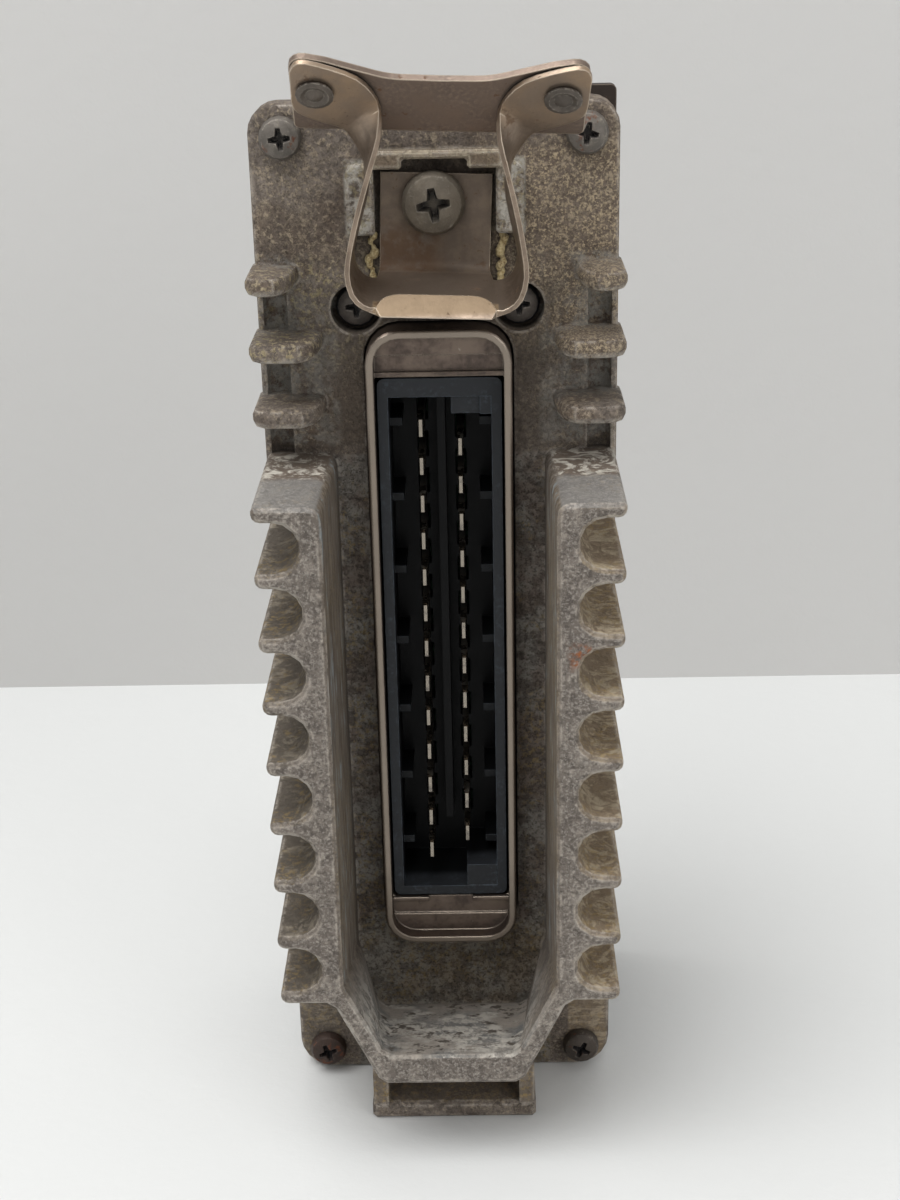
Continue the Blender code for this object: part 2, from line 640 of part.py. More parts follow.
def cross(x, z, radius, turn):
    """Outline of a cross recess with tapered arms, for a head of this radius."""
    outline = []
    for quarter in range(4):
        angle = turn + quarter * math.pi / 2
        for along, across in ((CROSS_REACH, -CROSS_TIP), (CROSS_REACH, CROSS_TIP), (CROSS_ROOT, CROSS_ROOT)):
            outline.append((x + radius * (along * math.cos(angle) - across * math.sin(angle)),
                            z + radius * (along * math.sin(angle) + across * math.cos(angle))))
    return outline


def cut_cross(screw, x, z, head_radius, mouth_y, bottom_y, turn=0.0):
    """Cuts a tapered cross recess into a screw head."""
    mouth = cross(x, z, head_radius, turn)
    bottom = cross(x, z, head_radius * CROSS_FLOOR, turn)
    ends = sorted(((mouth, mouth_y), (bottom, bottom_y)), key=lambda end: end[1])
    cut(screw, screw.name + "_recess", [loft(*ends)])


def pan_screw(name, x, z, seat_y, head, shank, turn=0.0, facing=-1, steps=16):
    """Pan-head screw with a cross recess; head and shank are radius and length."""
    profile = dome_profile(*head) + shank_profile(*shank)
    screw = turned(name, profile, "screw_steel", x, z, seat_y, facing, steps=steps)
    mouth_y = seat_y + facing * (head[1] + GAP)
    cut_cross(screw, x, z, head[0], mouth_y, seat_y + facing * head[1] * CROSS_BOTTOM, turn)
    return screw


def cheek(channel_half, corner_z, floor_half, floor_z):
    """Function that gives the outer face's x at a height, one wall outside the channel's slanting cheek."""
    run = Vector((channel_half - floor_half, corner_z - floor_z))
    start = Vector((floor_half, floor_z)) + CHEEK_WALL * Vector((run.y, -run.x)).normalized()
    return lambda z: start.x + (z - start.y) * run.x / run.y


def shroud_outline(y):
    """Outline of the U-shaped shroud at a depth: fins and round gaps outside, the plug's channel inside."""
    ends = ((CHANNEL_HALF_FRONT, CHANNEL_HALF_BACK), (CHANNEL_CORNER_FRONT, CHANNEL_CORNER_BACK),
            (CHANNEL_FLOOR_HALF_FRONT, CHANNEL_FLOOR_HALF_BACK), (CHANNEL_FLOOR_FRONT, CHANNEL_FLOOR_BACK))
    channel_half, corner_z, floor_half, floor_z = [
        back - (front - back) * y / SHROUD_REACH for front, back in ends]
    gap = FIN_PITCH - FIN_THICKNESS
    top_round = (channel_half + SHROUD_TOP_RADIUS, SHROUD_TOP - SHROUD_TOP_RADIUS)
    side = arc(top_round, SHROUD_TOP_RADIUS, 180, 90, 3)
    for fin in range(FIN_COUNT):
        top = SHROUD_TOP - fin * FIN_PITCH
        bottom = top - FIN_THICKNESS
        side.append((FIN_HALF_WIDTH - FIN_TIP_CHAMFER, top))
        side.append((FIN_HALF_WIDTH, top - FIN_TIP_CHAMFER))
        side += arc((FIN_HALF_WIDTH - FIN_TIP_RADIUS, bottom + FIN_TIP_RADIUS), FIN_TIP_RADIUS, 0, -90, 3)
        if fin < FIN_COUNT - 1:
            side += arc((FIN_ROOT + gap / 2, bottom - gap / 2), gap / 2, 90, 270, 7)
    under = floor_z - FLOOR_WALL
    outer = cheek(channel_half, corner_z, floor_half, floor_z)
    side.append((outer(bottom) + CHEEK_ROUND, bottom))
    side.append((outer(bottom - CHEEK_ROUND), bottom - CHEEK_ROUND))
    side.append((outer(under + CHEEK_ROUND), under + CHEEK_ROUND))
    side.append((outer(under) - CHEEK_ROUND, under))
    inside = [(floor_half - CHEEK_ROUND, floor_z), (floor_half + CHEEK_ROUND / 2, floor_z + CHEEK_ROUND)]
    inside.append((channel_half, corner_z))
    return mirrored(side) + [(-x, z) for x, z in reversed(inside)] + inside


def lug(side, index):
    """Short cooling lug that stands out of the plate's edge."""
    root = LUG_OUTER - LUG_LENGTHS[index]
    inner = [(root + LUG_SLANT * across, -LUG_REACH * out) for across, out in LUG_INNER_END]
    corner = arc((LUG_OUTER - LUG_CORNER, LUG_CORNER - LUG_REACH), LUG_CORNER, -90, 0, 3)
    plan = inner + corner + [(LUG_OUTER, PLATE_THICKNESS / 2), (root, PLATE_THICKNESS / 2)]
    bottom = LUG_TOPS[index] - LUG_THICKNESS
    return extruded([(side * x, y, bottom) for x, y in plan], (0, 0, LUG_THICKNESS))


def foot_wall(side):
    """Side wall of the foot, from the lip up into the sloping underside of the shroud."""
    outer = FOOT_HALF_WIDTH - FOOT_WALL_INSET
    inner = FOOT_HALF_WIDTH - FOOT_SIDE_WALL
    front = FOOT_WALL_INSET - FOOT_REACH
    slope = (CHANNEL_FLOOR_FRONT - CHANNEL_FLOOR_BACK) / SHROUD_REACH
    top = CHANNEL_FLOOR_BACK - WELD
    face = [(front, FOOT_EDGE_ROUND), (WELD, FOOT_EDGE_ROUND), (WELD, top), (front, top - slope * front)]
    return extruded([(side * inner, y, z) for y, z in face], (side * (outer - inner), 0, 0))


def build_casting():
    """Front casting: plate, finned shroud, lugs, foot, latch pocket and the posts behind."""
    side, height = PLATE_HALF_WIDTH, PLATE_HEIGHT
    outline = rounded([(-side, 0, PLATE_BOTTOM_RADIUS), (side, 0, PLATE_BOTTOM_RADIUS),
                       (side, height, PLATE_TOP_RADIUS), (-side, height, PLATE_TOP_RADIUS)], 5)
    casting = add_part("front_casting", mesh_of("front_casting", [prism(outline, 0, PLATE_THICKNESS)]),
                       "cast_aluminium")
    round_edges(casting, PLATE_EDGE_ROUND)
    cut(casting, "pocket", [prism(pocket_outline(), -MM, POCKET_DEPTH)])
    groove = rounded_box(GROOVE_CENTRE - GROOVE_RADIUS, GROOVE_CENTRE + GROOVE_RADIUS, -GROOVE_RADIUS,
                         GROOVE_RADIUS, GROOVE_CORNER)
    rise = LUG_TOPS[-1] - LUG_THICKNESS / 2 - SHROUD_TOP
    cut(casting, "grooves", [extruded([(turn * x, y, SHROUD_TOP) for x, y in groove], (0, 0, rise))
                             for turn in (1, -1)])
    front, back = -SHROUD_REACH, PLATE_THICKNESS / 2
    shroud = loft((shroud_outline(front), front), (shroud_outline(back), back))
    fuse(casting, "shroud", [shroud], SHROUD_EDGE_ROUND)
    lugs = [lug(turn, index) for turn in (1, -1) for index in range(len(LUG_LENGTHS))]
    fuse(casting, "lugs", lugs, LUG_ROUND, 2)
    lip = box((-FOOT_HALF_WIDTH, -FOOT_REACH, 0), (FOOT_HALF_WIDTH, PLATE_THICKNESS / 2, FOOT_LIP))
    fuse(casting, "foot_lip", [lip], FOOT_EDGE_ROUND)
    fuse(casting, "foot_walls", [foot_wall(1), foot_wall(-1)])
    fuse(casting, "ridge", [prism(ridge_outline(), -RIDGE_PROUD, POCKET_DEPTH + WELD)], RAIL_ROUND)
    fuse(casting, "rails", [rail(turn) for turn in (1, -1)], RAIL_ROUND)
    posts = [rod(x, z, BOARD_SCREW_SHANK + THREAD_CLEARANCE + POST_WALL, PLATE_THICKNESS - WELD,
                 BOARD_FRONT - GAP, 12) for x, z in POSTS]
    boss_radius = CLAMP_SHANK_RADIUS + THREAD_CLEARANCE + CLAMP_BOSS_WALL
    boss = rod(CLAMP_SCREW_X, CLAMP_SCREW_Z, boss_radius, PLATE_THICKNESS - WELD,
               CLAMP_HOLE_END + CLAMP_BOSS_FLOOR, 16)
    fuse(casting, "posts", posts + [boss])
    cut(casting, "counterbores", [rod(turn * SOCKET_SCREW_X, SOCKET_SCREW_Z, SOCKET_BORE_RADIUS, -MM,
                                      SOCKET_BORE_DEPTH) for turn in (1, -1)])
    cut(casting, "openings", casting_openings())


def pocket_outline():
    """Outline of the latch's pocket: wide at its foot, and only as wide as the tongue between the rails."""
    wide, narrow = POCKET_HALF_WIDTH, RAIL_INNER + RAIL_LAP
    low, step, top = POCKET_BOTTOM, POCKET_BOTTOM + RAIL_START + RAIL_LAP, POCKET_TOP + RAIL_LAP
    return rounded([(-wide, low, POCKET_CORNER), (wide, low, POCKET_CORNER), (wide, step, 0),
                    (narrow, step, 0), (narrow, top, 0), (-narrow, top, 0), (-narrow, step, 0),
                    (-wide, step, 0)])


def ridge_outline():
    """Outline of the ridge over the tongue, with a leg at each end."""
    top, low = POCKET_TOP + RIDGE_HEIGHT, POCKET_TOP - RIDGE_LEG_DROP
    return mirrored([(RIDGE_HALF_WIDTH, top), (RIDGE_HALF_WIDTH, low), (RIDGE_LEG_INNER, low),
                     (RIDGE_LEG_INNER, POCKET_TOP)])


def rail(side):
    """Rail beside the latch's tongue."""
    outer = POCKET_HALF_WIDTH + WELD / 2
    low = POCKET_BOTTOM + RAIL_START
    high = low + RAIL_LENGTH
    outline = rounded([(RAIL_INNER, low, 0), (outer, low, 0), (outer, high, RAIL_CORNER),
                       (RAIL_INNER, high, RAIL_CORNER)])
    return prism([(side * x, z) for x, z in outline], -RAIL_PROUD, POCKET_DEPTH + WELD)


def casting_openings():
    """Socket opening with the half-round notch below it, and all the screw holes."""
    half, rise = COLLAR_HALF_WIDTH + GAP, COLLAR_HALF_HEIGHT + GAP
    low = SOCKET_CENTRE_Z - rise
    outline = rounded_box(-half, half, low, SOCKET_CENTRE_Z + rise, COLLAR_RADIUS + GAP, 5)
    notch = [(NOTCH_RADIUS * math.cos(math.radians(a)), low + NOTCH_DEPTH * math.sin(math.radians(a)))
             for a in range(180, 361, 30)]
    end = PLATE_THICKNESS + MM
    holes = [prism(outline[:6] + notch + outline[6:], -MM, end)]
    clamp_radius = CLAMP_SHANK_RADIUS + THREAD_CLEARANCE
    holes.append(rod(CLAMP_SCREW_X, CLAMP_SCREW_Z, clamp_radius, -MM, CLAMP_HOLE_END, 16))
    holes += socket_screw_holes(MM, end)
    for x, z in CORNER_SCREWS:
        holes.append(rod(x, z, CORNER_SHANK_RADIUS + THREAD_CLEARANCE, -MM, end, 16))
    for x, z in POSTS:
        depth = ABOVE_BOARD - BOARD_SCREW_LENGTH - GAP
        holes.append(rod(x, z, BOARD_SCREW_SHANK + THREAD_CLEARANCE, depth, BOARD_FRONT, 12))
    return holes


def build_screws():
    """Corner screws, the latch's clamp screw, the socket's screws and the board's screws."""
    for index, (x, z) in enumerate(CORNER_SCREWS):
        pan_screw(f"corner_screw_{index + 1}", x, z, -GAP, (CORNER_HEAD_RADIUS, CORNER_HEAD_HEIGHT),
                  (CORNER_SHANK_RADIUS, CORNER_SHANK_LENGTH), CORNER_CROSS_TURNS[index])
    pan_screw("latch_screw", CLAMP_SCREW_X, CLAMP_SCREW_Z, CLAMP_SEAT, (CLAMP_HEAD_RADIUS, CLAMP_HEAD_HEIGHT),
              (CLAMP_SHANK_RADIUS, CLAMP_SHANK_LENGTH), CLAMP_CROSS_TURN, steps=20)
    shank = (SOCKET_SHANK_RADIUS, SOCKET_SHANK_LENGTH)
    for index, side in enumerate((-1, 1)):
        pan_screw(f"socket_screw_{index + 1}", side * SOCKET_SCREW_X, SOCKET_SCREW_Z, SOCKET_SCREW_SEAT,
                  (SOCKET_HEAD_RADIUS, SOCKET_HEAD_HEIGHT), shank, steps=14)
    for index, (x, z) in enumerate(POSTS):
        pan_screw(f"board_screw_{index + 1}", x, z, ABOVE_BOARD, (BOARD_SCREW_HEAD, BOARD_SCREW_HEAD_HEIGHT),
                  (BOARD_SCREW_SHANK, BOARD_SCREW_LENGTH), facing=1, steps=8)


def lip_length(x):
    """Height of the lip's arched edge at a distance from the middle."""
    beyond = max(0, x - LIP_FLAT_HALF) / (LIP_FOOT_HALF - LIP_FLAT_HALF)
    return LIP_LENGTH * math.sqrt(1 - beyond ** 2)


def middle_rows():
    """Rows of the latch's middle part from the tongue's top to the lip: half width, and y, z per column."""
    tongue_y = TONGUE_FRONT + SHEET / 2
    bend_y = tongue_y - TONGUE_BEND_RADIUS
    shelf_z = SHELF_FRONT_Z + (bend_y - SHELF_FRONT) * math.tan(SHELF_SLOPE)
    centre = (bend_y, shelf_z + TONGUE_BEND_RADIUS / math.cos(SHELF_SLOPE))
    bend = arc(centre, TONGUE_BEND_RADIUS, 0, math.degrees(SHELF_SLOPE) - 90, 4)
    rows = [(TONGUE_HALF_WIDTH, [point] * len(COLUMNS)) for point in [(tongue_y, TONGUE_TOP)] + bend]
    for y, z in shelf_edge()[::-1]:
        rows.append((SHELF_HALF_WIDTH, [(y, z)] * len(COLUMNS)))
    for share in (0.5, 1):
        lengths = [share * lip_length(SHELF_HALF_WIDTH * column) for column in COLUMNS]
        rows.append((SHELF_HALF_WIDTH, [(SHELF_FRONT + length * math.sin(LIP_LEAN),
                                         SHELF_FRONT_Z + length * math.cos(LIP_LEAN)) for length in lengths]))
    return rows


def shelf_edge():
    """Points y, z along the shelf's side, where the arm leaves it, from the front back."""
    ys = [SHELF_FRONT + (SHELF_CUT - SHELF_FRONT) * step / RIBBON_STEPS for step in range(RIBBON_STEPS + 1)]
    return [(y, SHELF_FRONT_Z + (y - SHELF_FRONT) * math.tan(SHELF_SLOPE)) for y in ys]


def smooth_path(points):
    """Smooth curve through the inner ones of these points; the outer two only direct its ends."""
    path = [points[1]]
    for before, start, end, after in zip(points, points[1:], points[2:], points[3:]):
        bend = 2 * before - 5 * start + 4 * end - after
        twist = 3 * (start - end) + after - before
        for step in range(1, STATION_STEPS + 1):
            share = step / STATION_STEPS
            path.append(start + ((end - before) * share + bend * share ** 2 + twist * share ** 3) / 2)
    return path


def ribbon_rows():
    """Rows across the arm and the ear, from the shelf's side to the ear's tip."""
    edges = []
    for end in (0, -1):
        points = [Vector((SHELF_HALF_WIDTH, *shelf_edge()[end]))]
        points += [Vector(pair[end]) for pair in ARM_STATIONS]
        for x, rise in (pair[end] for pair in EAR_STATIONS):
            y, z = EAR_FOOT_Y - rise * math.sin(EAR_LEAN), EAR_FOOT_Z + rise * math.cos(EAR_LEAN)
            points.append(Vector((x, y, z)))
        inward = Vector((2 * points[0].x - points[1].x, points[0].y, points[0].z))
        edges.append(smooth_path([inward, *points, points[-1]]))
    return [[front.lerp(back, step / RIBBON_STEPS) for step in range(RIBBON_STEPS + 1)]
            for front, back in zip(*edges)]


def lean_at(y):
    """Distance to the right that the bent latch reaches at a depth."""
    return LATCH_LEAN * (TONGUE_FRONT - y)


def join_rows(sheet, rows):
    """Fills the quads between neighbouring rows of points, sharing the points that lie in one place."""
    corners = [[sheet.verts.new(point) for point in row] for row in rows]
    for first, second in zip(corners, corners[1:]):
        for a in range(len(first) - 1):
            sheet.faces.new((first[a], first[a + 1], second[a + 1], second[a]))


def build_latch():
    """Latch spring from one folded sheet, the lever plate behind its ears, and the two rivets."""
    sheet = bmesh.new()
    for side in (1, -1):
        join_rows(sheet, [[(side * half * column, *point) for column, point in zip(COLUMNS, points)]
                          for half, points in middle_rows()])
        join_rows(sheet, [[(side * x, y, z) for x, y, z in row] for row in ribbon_rows()])
    bmesh.ops.remove_doubles(sheet, verts=sheet.verts, dist=0.01 * MM)
    for corner in sheet.verts:
        corner.co.x += lean_at(corner.co.y)
    spring = add_part("latch_spring", mesh_of("latch_spring", [sheet]), "spring_steel", "latch")
    solid = spring.modifiers.new("sheet", "SOLIDIFY")
    solid.thickness = SHEET
    solid.offset = 0
    solid.use_even_offset = True
    cut(spring, "clamp_hole", [rod(CLAMP_SCREW_X, CLAMP_SCREW_Z, CLAMP_SHANK_RADIUS + THREAD_CLEARANCE, -MM,
                                   2 * MM + TONGUE_FRONT, 20)])
    lever_front = SHEET / 2 + GAP
    lever_back = lever_front + LEVER_SHEET
    edge, low = LEVER_HALF_WIDTH, LEVER_BOTTOM
    half = rounded([(0, LEVER_MIDDLE, 0), (*LEVER_KNEE, LEVER_KNEE_RADIUS), (*LEVER_HIP, LEVER_HIP_RADIUS),
                    (edge, LEVER_TOP, LEVER_CORNER), (edge, low, LEVER_CORNER / 2), (0, low, 0)])
    lever = add_part("latch_lever", mesh_of("latch_lever", [prism(mirrored(half), lever_front, lever_back)]),
                     "plated_steel", "ears")
    for item in (spring, lever):
        cut(item, item.name + "_rivet_holes", [rod(side * RIVET_X, RIVET_Z, RIVET_SHANK_RADIUS + GAP, -2 * MM,
                                                   3 * MM, 12) for side in (-1, 1)], "ears")
    for index, side in enumerate((-1, 1)):
        turned(f"latch_rivet_{index + 1}", rivet_profile(lever_back), "screw_steel", side * RIVET_X, RIVET_Z,
               -SHEET / 2 - GAP, carrier="ears")


def rivet_profile(lever_back):
    """Profile of a rivet, from the nub in its dished head down to its tail behind the lever plate."""
    nub, brim = RIVET_NUB_RADIUS, RIVET_BRIM_RADIUS
    head = [(0, RIVET_NUB_HEIGHT), (nub / 2, RIVET_NUB_SHOULDER), (nub, RIVET_DISH_HEIGHT),
            ((nub + brim) / 2, RIVET_BRIM_HEIGHT), (brim, RIVET_BRIM_HEIGHT / 2), (brim, 0)]
    seat = -(lever_back + SHEET / 2 + 2 * GAP)
    end = seat - RIVET_TAIL_HEIGHT
    return head + [(RIVET_SHANK_RADIUS, 0), (RIVET_SHANK_RADIUS, seat), (RIVET_TAIL_RADIUS, seat),
                   (RIVET_TAIL_RADIUS - RIVET_TAIL_CHAMFER, end), (0, end)]


def flange_outline(inset=0.0):
    """Outline of the collar's flange, with wider ears round the socket screws."""
    half, ear = FLANGE_HALF_WIDTH - inset, FLANGE_EAR_HALF - inset
    top = SOCKET_SCREW_Z + FLANGE_EAR_DROP - inset
    step = SOCKET_SCREW_Z - FLANGE_EAR_DROP + inset
    low, corner = FLANGE_BOTTOM + inset, FLANGE_CORNER - inset
    return rounded([(half, low, corner), (half, step, 0), (ear, step, 0), (ear, top, corner),
                    (-ear, top, corner), (-ear, step, 0), (-half, step, 0), (-half, low, corner)])


def socket_screw_holes(front_y, back_y):
    """Clearance holes for the two socket screws."""
    radius = SOCKET_SHANK_RADIUS + THREAD_CLEARANCE
    return [rod(side * SOCKET_SCREW_X, SOCKET_SCREW_Z, radius, front_y, back_y, 12) for side in (-1, 1)]


def ring_box(half, rise, radius):
    """Round-cornered outline about the socket's centre."""
    return rounded_box(-half, half, SOCKET_CENTRE_Z - rise, SOCKET_CENTRE_Z + rise, radius, 5)


def build_collar():
    """Drawn metal collar with stepped end shelves round the socket's window, and its flange."""
    inner, end_rise = COLLAR_INNER_HALF, COLLAR_INNER_RISE
    outline = ring_box(COLLAR_HALF_WIDTH, COLLAR_HALF_HEIGHT, COLLAR_RADIUS)
    body = prism(outline, -COLLAR_PROUD, FLANGE_BACK - WELD)
    collar = add_part("socket_collar", mesh_of("socket_collar", [body]), "plated_steel")
    round_edges(collar, COLLAR_EDGE_ROUND, 1)
    fuse(collar, "collar_flange", [prism(flange_outline(), FLANGE_FRONT, FLANGE_BACK)])
    inside = ring_box(inner, end_rise, COLLAR_RADIUS - COLLAR_WALL)
    cut(collar, "collar_front", [prism(inside, -COLLAR_PROUD - MM, COLLAR_SHELF_FRONT)])
    window = ring_box(inner, SOCKET_HALF_HEIGHT + GAP, COLLAR_SHEET / 2)
    step = ring_box(inner, end_rise - COLLAR_STEP_MARGIN, COLLAR_SHEET / 2)
    cut(collar, "collar_step", [prism(step, COLLAR_SHELF_FRONT - MM, COLLAR_STEP_FRONT)])
    cut(collar, "collar_back", [prism(inside, COLLAR_STEP_FRONT + COLLAR_SHEET, FLANGE_BACK + MM)])
    cut(collar, "collar_window", [prism(window, COLLAR_SHELF_FRONT - MM, FLANGE_FRONT)])
    low = SOCKET_CENTRE_Z - SOCKET_HALF_HEIGHT - GAP
    high = SOCKET_CENTRE_Z + SOCKET_HALF_HEIGHT + GAP
    front, back = COLLAR_STEP_FRONT - COLLAR_LIP_PROUD, COLLAR_STEP_FRONT + COLLAR_SHEET / 2
    reach = inner + COLLAR_WALL / 2
    lips = [box((-reach, front, high), (reach, back, high + COLLAR_LIP_HEIGHT)),
            box((-reach, front, low - COLLAR_LIP_HEIGHT), (-COLLAR_LIP_SLOT_HALF, back, low)),
            box((COLLAR_LIP_SLOT_HALF, front, low - COLLAR_LIP_HEIGHT), (reach, back, low))]
    fuse(collar, "collar_lips", lips)
    cut(collar, "collar_holes", socket_screw_holes(FLANGE_FRONT - MM, FLANGE_BACK + MM))


def pin_places():
    """Places x, z of the contacts: the left row, then the right row, each about the socket's centre."""
    places = []
    for count, x in ((LEFT_PIN_COUNT, -PIN_ROW_X), (RIGHT_PIN_COUNT, PIN_ROW_X)):
        top = SOCKET_CENTRE_Z + (count - 1) / 2 * PIN_PITCH
        places += [(x, top - index * PIN_PITCH) for index in range(count)]
    return places


def build_socket():
    """Plastic socket: shell, ribs, key and stop block, with a slot in its floor for each contact."""
    half, rise = SOCKET_HALF_WIDTH, SOCKET_HALF_HEIGHT
    shell = prism(ring_box(half, rise, SOCKET_CORNER), SOCKET_FRONT, SOCKET_BACK)
    socket = add_part("socket_housing", mesh_of("socket_housing", [shell]), "black_plastic")
    flange = ring_box(half + SOCKET_FLANGE_WIDTH, rise + SOCKET_FLANGE_RISE, SOCKET_CORNER)
    flange_back = SOCKET_FLANGE_FRONT + SOCKET_FLANGE_THICKNESS
    fuse(socket, "socket_flange", [prism(flange, SOCKET_FLANGE_FRONT, flange_back)])
    cavity = half - SOCKET_WALL
    low = SOCKET_CENTRE_Z - rise + SOCKET_WALL
    high = SOCKET_CENTRE_Z + rise - SOCKET_TOP_WALL
    cut(socket, "socket_cavity", [box((-cavity, SOCKET_FRONT - MM, low), (cavity, SOCKET_FLOOR, high))])
    base = SOCKET_FLOOR + WELD
    ribs = [box((-CENTRE_RIB_HALF, CENTRE_RIB_FRONT, low + CENTRE_RIB_END),
                (CENTRE_RIB_HALF, base, high + WELD))]
    for index in range(SIDE_RIB_COUNT):
        z = SOCKET_CENTRE_Z + (index - (SIDE_RIB_COUNT - 1) / 2) * SIDE_RIB_PITCH
        z0, z1 = z - SIDE_RIB_THICKNESS / 2, z + SIDE_RIB_THICKNESS / 2
        ribs.append(box((cavity - SIDE_RIB_REACH, SIDE_RIB_FRONT, z0), (cavity + WELD, base, z1)))
        ribs.append(box((-cavity - WELD, SIDE_RIB_FRONT, z0), (SIDE_RIB_REACH - cavity, base, z1)))
    fuse(socket, "socket_ribs", ribs)
    key = box((KEY_INNER, SOCKET_FRONT + KEY_RECESS, high - KEY_DROP), (KEY_OUTER + WELD, base, high + WELD))
    ridge = box((KEY_OUTER, SOCKET_FRONT + WELD / 5, high - KEY_DROP), (cavity + WELD, base, high + WELD))
    stop = box((STOP_INNER, SOCKET_FRONT + WELD / 5, low - WELD), (cavity + WELD, base, low + STOP_HEIGHT))
    fuse(socket, "socket_key", [key])
    fuse(socket, "socket_key_ridge", [ridge, stop])
    span = (SOCKET_FLOOR - MM, SOCKET_BACK + MM)
    slots = [square_hole(x, z, PIN_THICKNESS / 2, PIN_WIDTH / 2, span) for x, z in pin_places()]
    cut(socket, "pin_slots", slots)


def build_pins():
    """Flat contact blades that share one mesh, each with a tapered tip and a narrow tail."""
    def section(thickness, width):
        return [(-thickness / 2, -width / 2), (thickness / 2, -width / 2), (thickness / 2, width / 2),
                (-thickness / 2, width / 2)]

    front = SOCKET_FRONT + PIN_RECESS
    tip = section(PIN_TIP_THICKNESS, PIN_TIP_WIDTH)
    blade = section(PIN_THICKNESS, PIN_WIDTH)
    tail = section(PIN_TAIL_THICKNESS, PIN_TAIL_WIDTH)
    pin = loft((tip, front), (blade, front + PIN_TIP_LENGTH), (blade, PIN_SHOULDER), (tail, PIN_SHOULDER),
               (tail, BOARD_BACK + PIN_TAIL_BEYOND_BOARD))
    mesh = mesh_of("contact_pin", [pin])
    for index, (x, z) in enumerate(pin_places()):
        add_part(f"contact_pin_{index + 1:02d}", mesh, "tinned_brass", place=(x, 0, z))


def build_seals():
    """Flat rubber seals: one behind the socket opening, one round the cover's rim."""
    gasket = prism(flange_outline(GAP), SEAL_FRONT, SEAL_BACK)
    socket_seal = add_part("socket_seal", mesh_of("socket_seal", [gasket]), "rubber")
    opening = ring_box(COLLAR_HALF_WIDTH + GAP, COLLAR_HALF_HEIGHT + GAP, COLLAR_RADIUS + GAP)
    span = (SEAL_FRONT - MM, SEAL_BACK + MM)
    cut(socket_seal, "socket_seal_holes", [prism(opening, *span)] + socket_screw_holes(*span))
    half = COVER_FRONT_HALF - COVER_SEAL_INSET
    low, high = COVER_SEAL_INSET, COVER_FRONT_TOP - COVER_SEAL_INSET
    rim = rounded_box(-half, half, low, high, COVER_RADIUS - COVER_SEAL_INSET)
    seal = add_part("cover_seal", mesh_of("cover_seal", [prism(rim, SEAL_FRONT, SEAL_BACK)]), "rubber")
    width = COVER_SEAL_WIDTH
    middle = add_cutter("seal_middle", mesh_of("seal_middle", [
        prism(rounded_box(width - half, half - width, low + width, high - width, MM), *span)]))
    hole = CORNER_SHANK_RADIUS + THREAD_CLEARANCE
    cut(middle, "seal_pads", [rod(x, z, hole + COVER_BOSS_WALL, SEAL_FRONT - 2 * MM, SEAL_BACK + 2 * MM, 16)
                              for x, z in CORNER_SCREWS])
    combine(seal, "DIFFERENCE", middle)
    cut(seal, "seal_holes", [rod(x, z, hole, *span, 12) for x, z in CORNER_SCREWS])


def build_cover():
    """Rear cover: a tapered box with screw bosses in its corners and two more for the mounting plate."""
    def outline(half, top, wall=0.0):
        return rounded_box(wall - half, half - wall, wall, top - wall, COVER_RADIUS - wall)

    front, back = (COVER_FRONT_HALF, COVER_FRONT_TOP), (COVER_BACK_HALF, COVER_BACK_TOP)
    shell = loft((outline(*front), COVER_FRONT), (outline(*back), COVER_BACK))
    cover = add_part("rear_cover", mesh_of("rear_cover", [shell]), "painted_cover")
    round_edges(cover, COVER_EDGE_ROUND)
    inner_back = COVER_BACK - COVER_WALL
    hollow = loft((outline(*front, COVER_WALL), COVER_FRONT - MM), (outline(*back, COVER_WALL), inner_back))
    hollow_cutter = add_cutter("cover_hollow", mesh_of("cover_hollow", [hollow]))
    hole = CORNER_SHANK_RADIUS + THREAD_CLEARANCE
    mount_hole = MOUNT_SCREW_SHANK_RADIUS + THREAD_CLEARANCE
    mount_boss = mount_hole + MOUNT_BOSS_WALL
    bosses = [rod(x, z, hole + COVER_BOSS_WALL, COVER_FRONT, COVER_FRONT + COVER_BOSS_LENGTH, 16)
              for x, z in CORNER_SCREWS]
    bosses += [rod(MOUNT_SCREW_X, z, mount_boss, inner_back - MOUNT_BOSS_LENGTH, COVER_BACK, 16)
               for z in MOUNT_SCREW_HEIGHTS]
    cut(hollow_cutter, "cover_bosses", bosses)
    combine(cover, "DIFFERENCE", hollow_cutter)
    holes = [rod(x, z, hole, COVER_FRONT - MM, CORNER_SHANK_LENGTH, 16) for x, z in CORNER_SCREWS]
    holes += [rod(MOUNT_SCREW_X, z, mount_hole, MOUNT_BACK - MOUNT_SCREW_LENGTH - GAP, COVER_BACK + MM, 16)
              for z in MOUNT_SCREW_HEIGHTS]
    cut(cover, "cover_holes", holes)


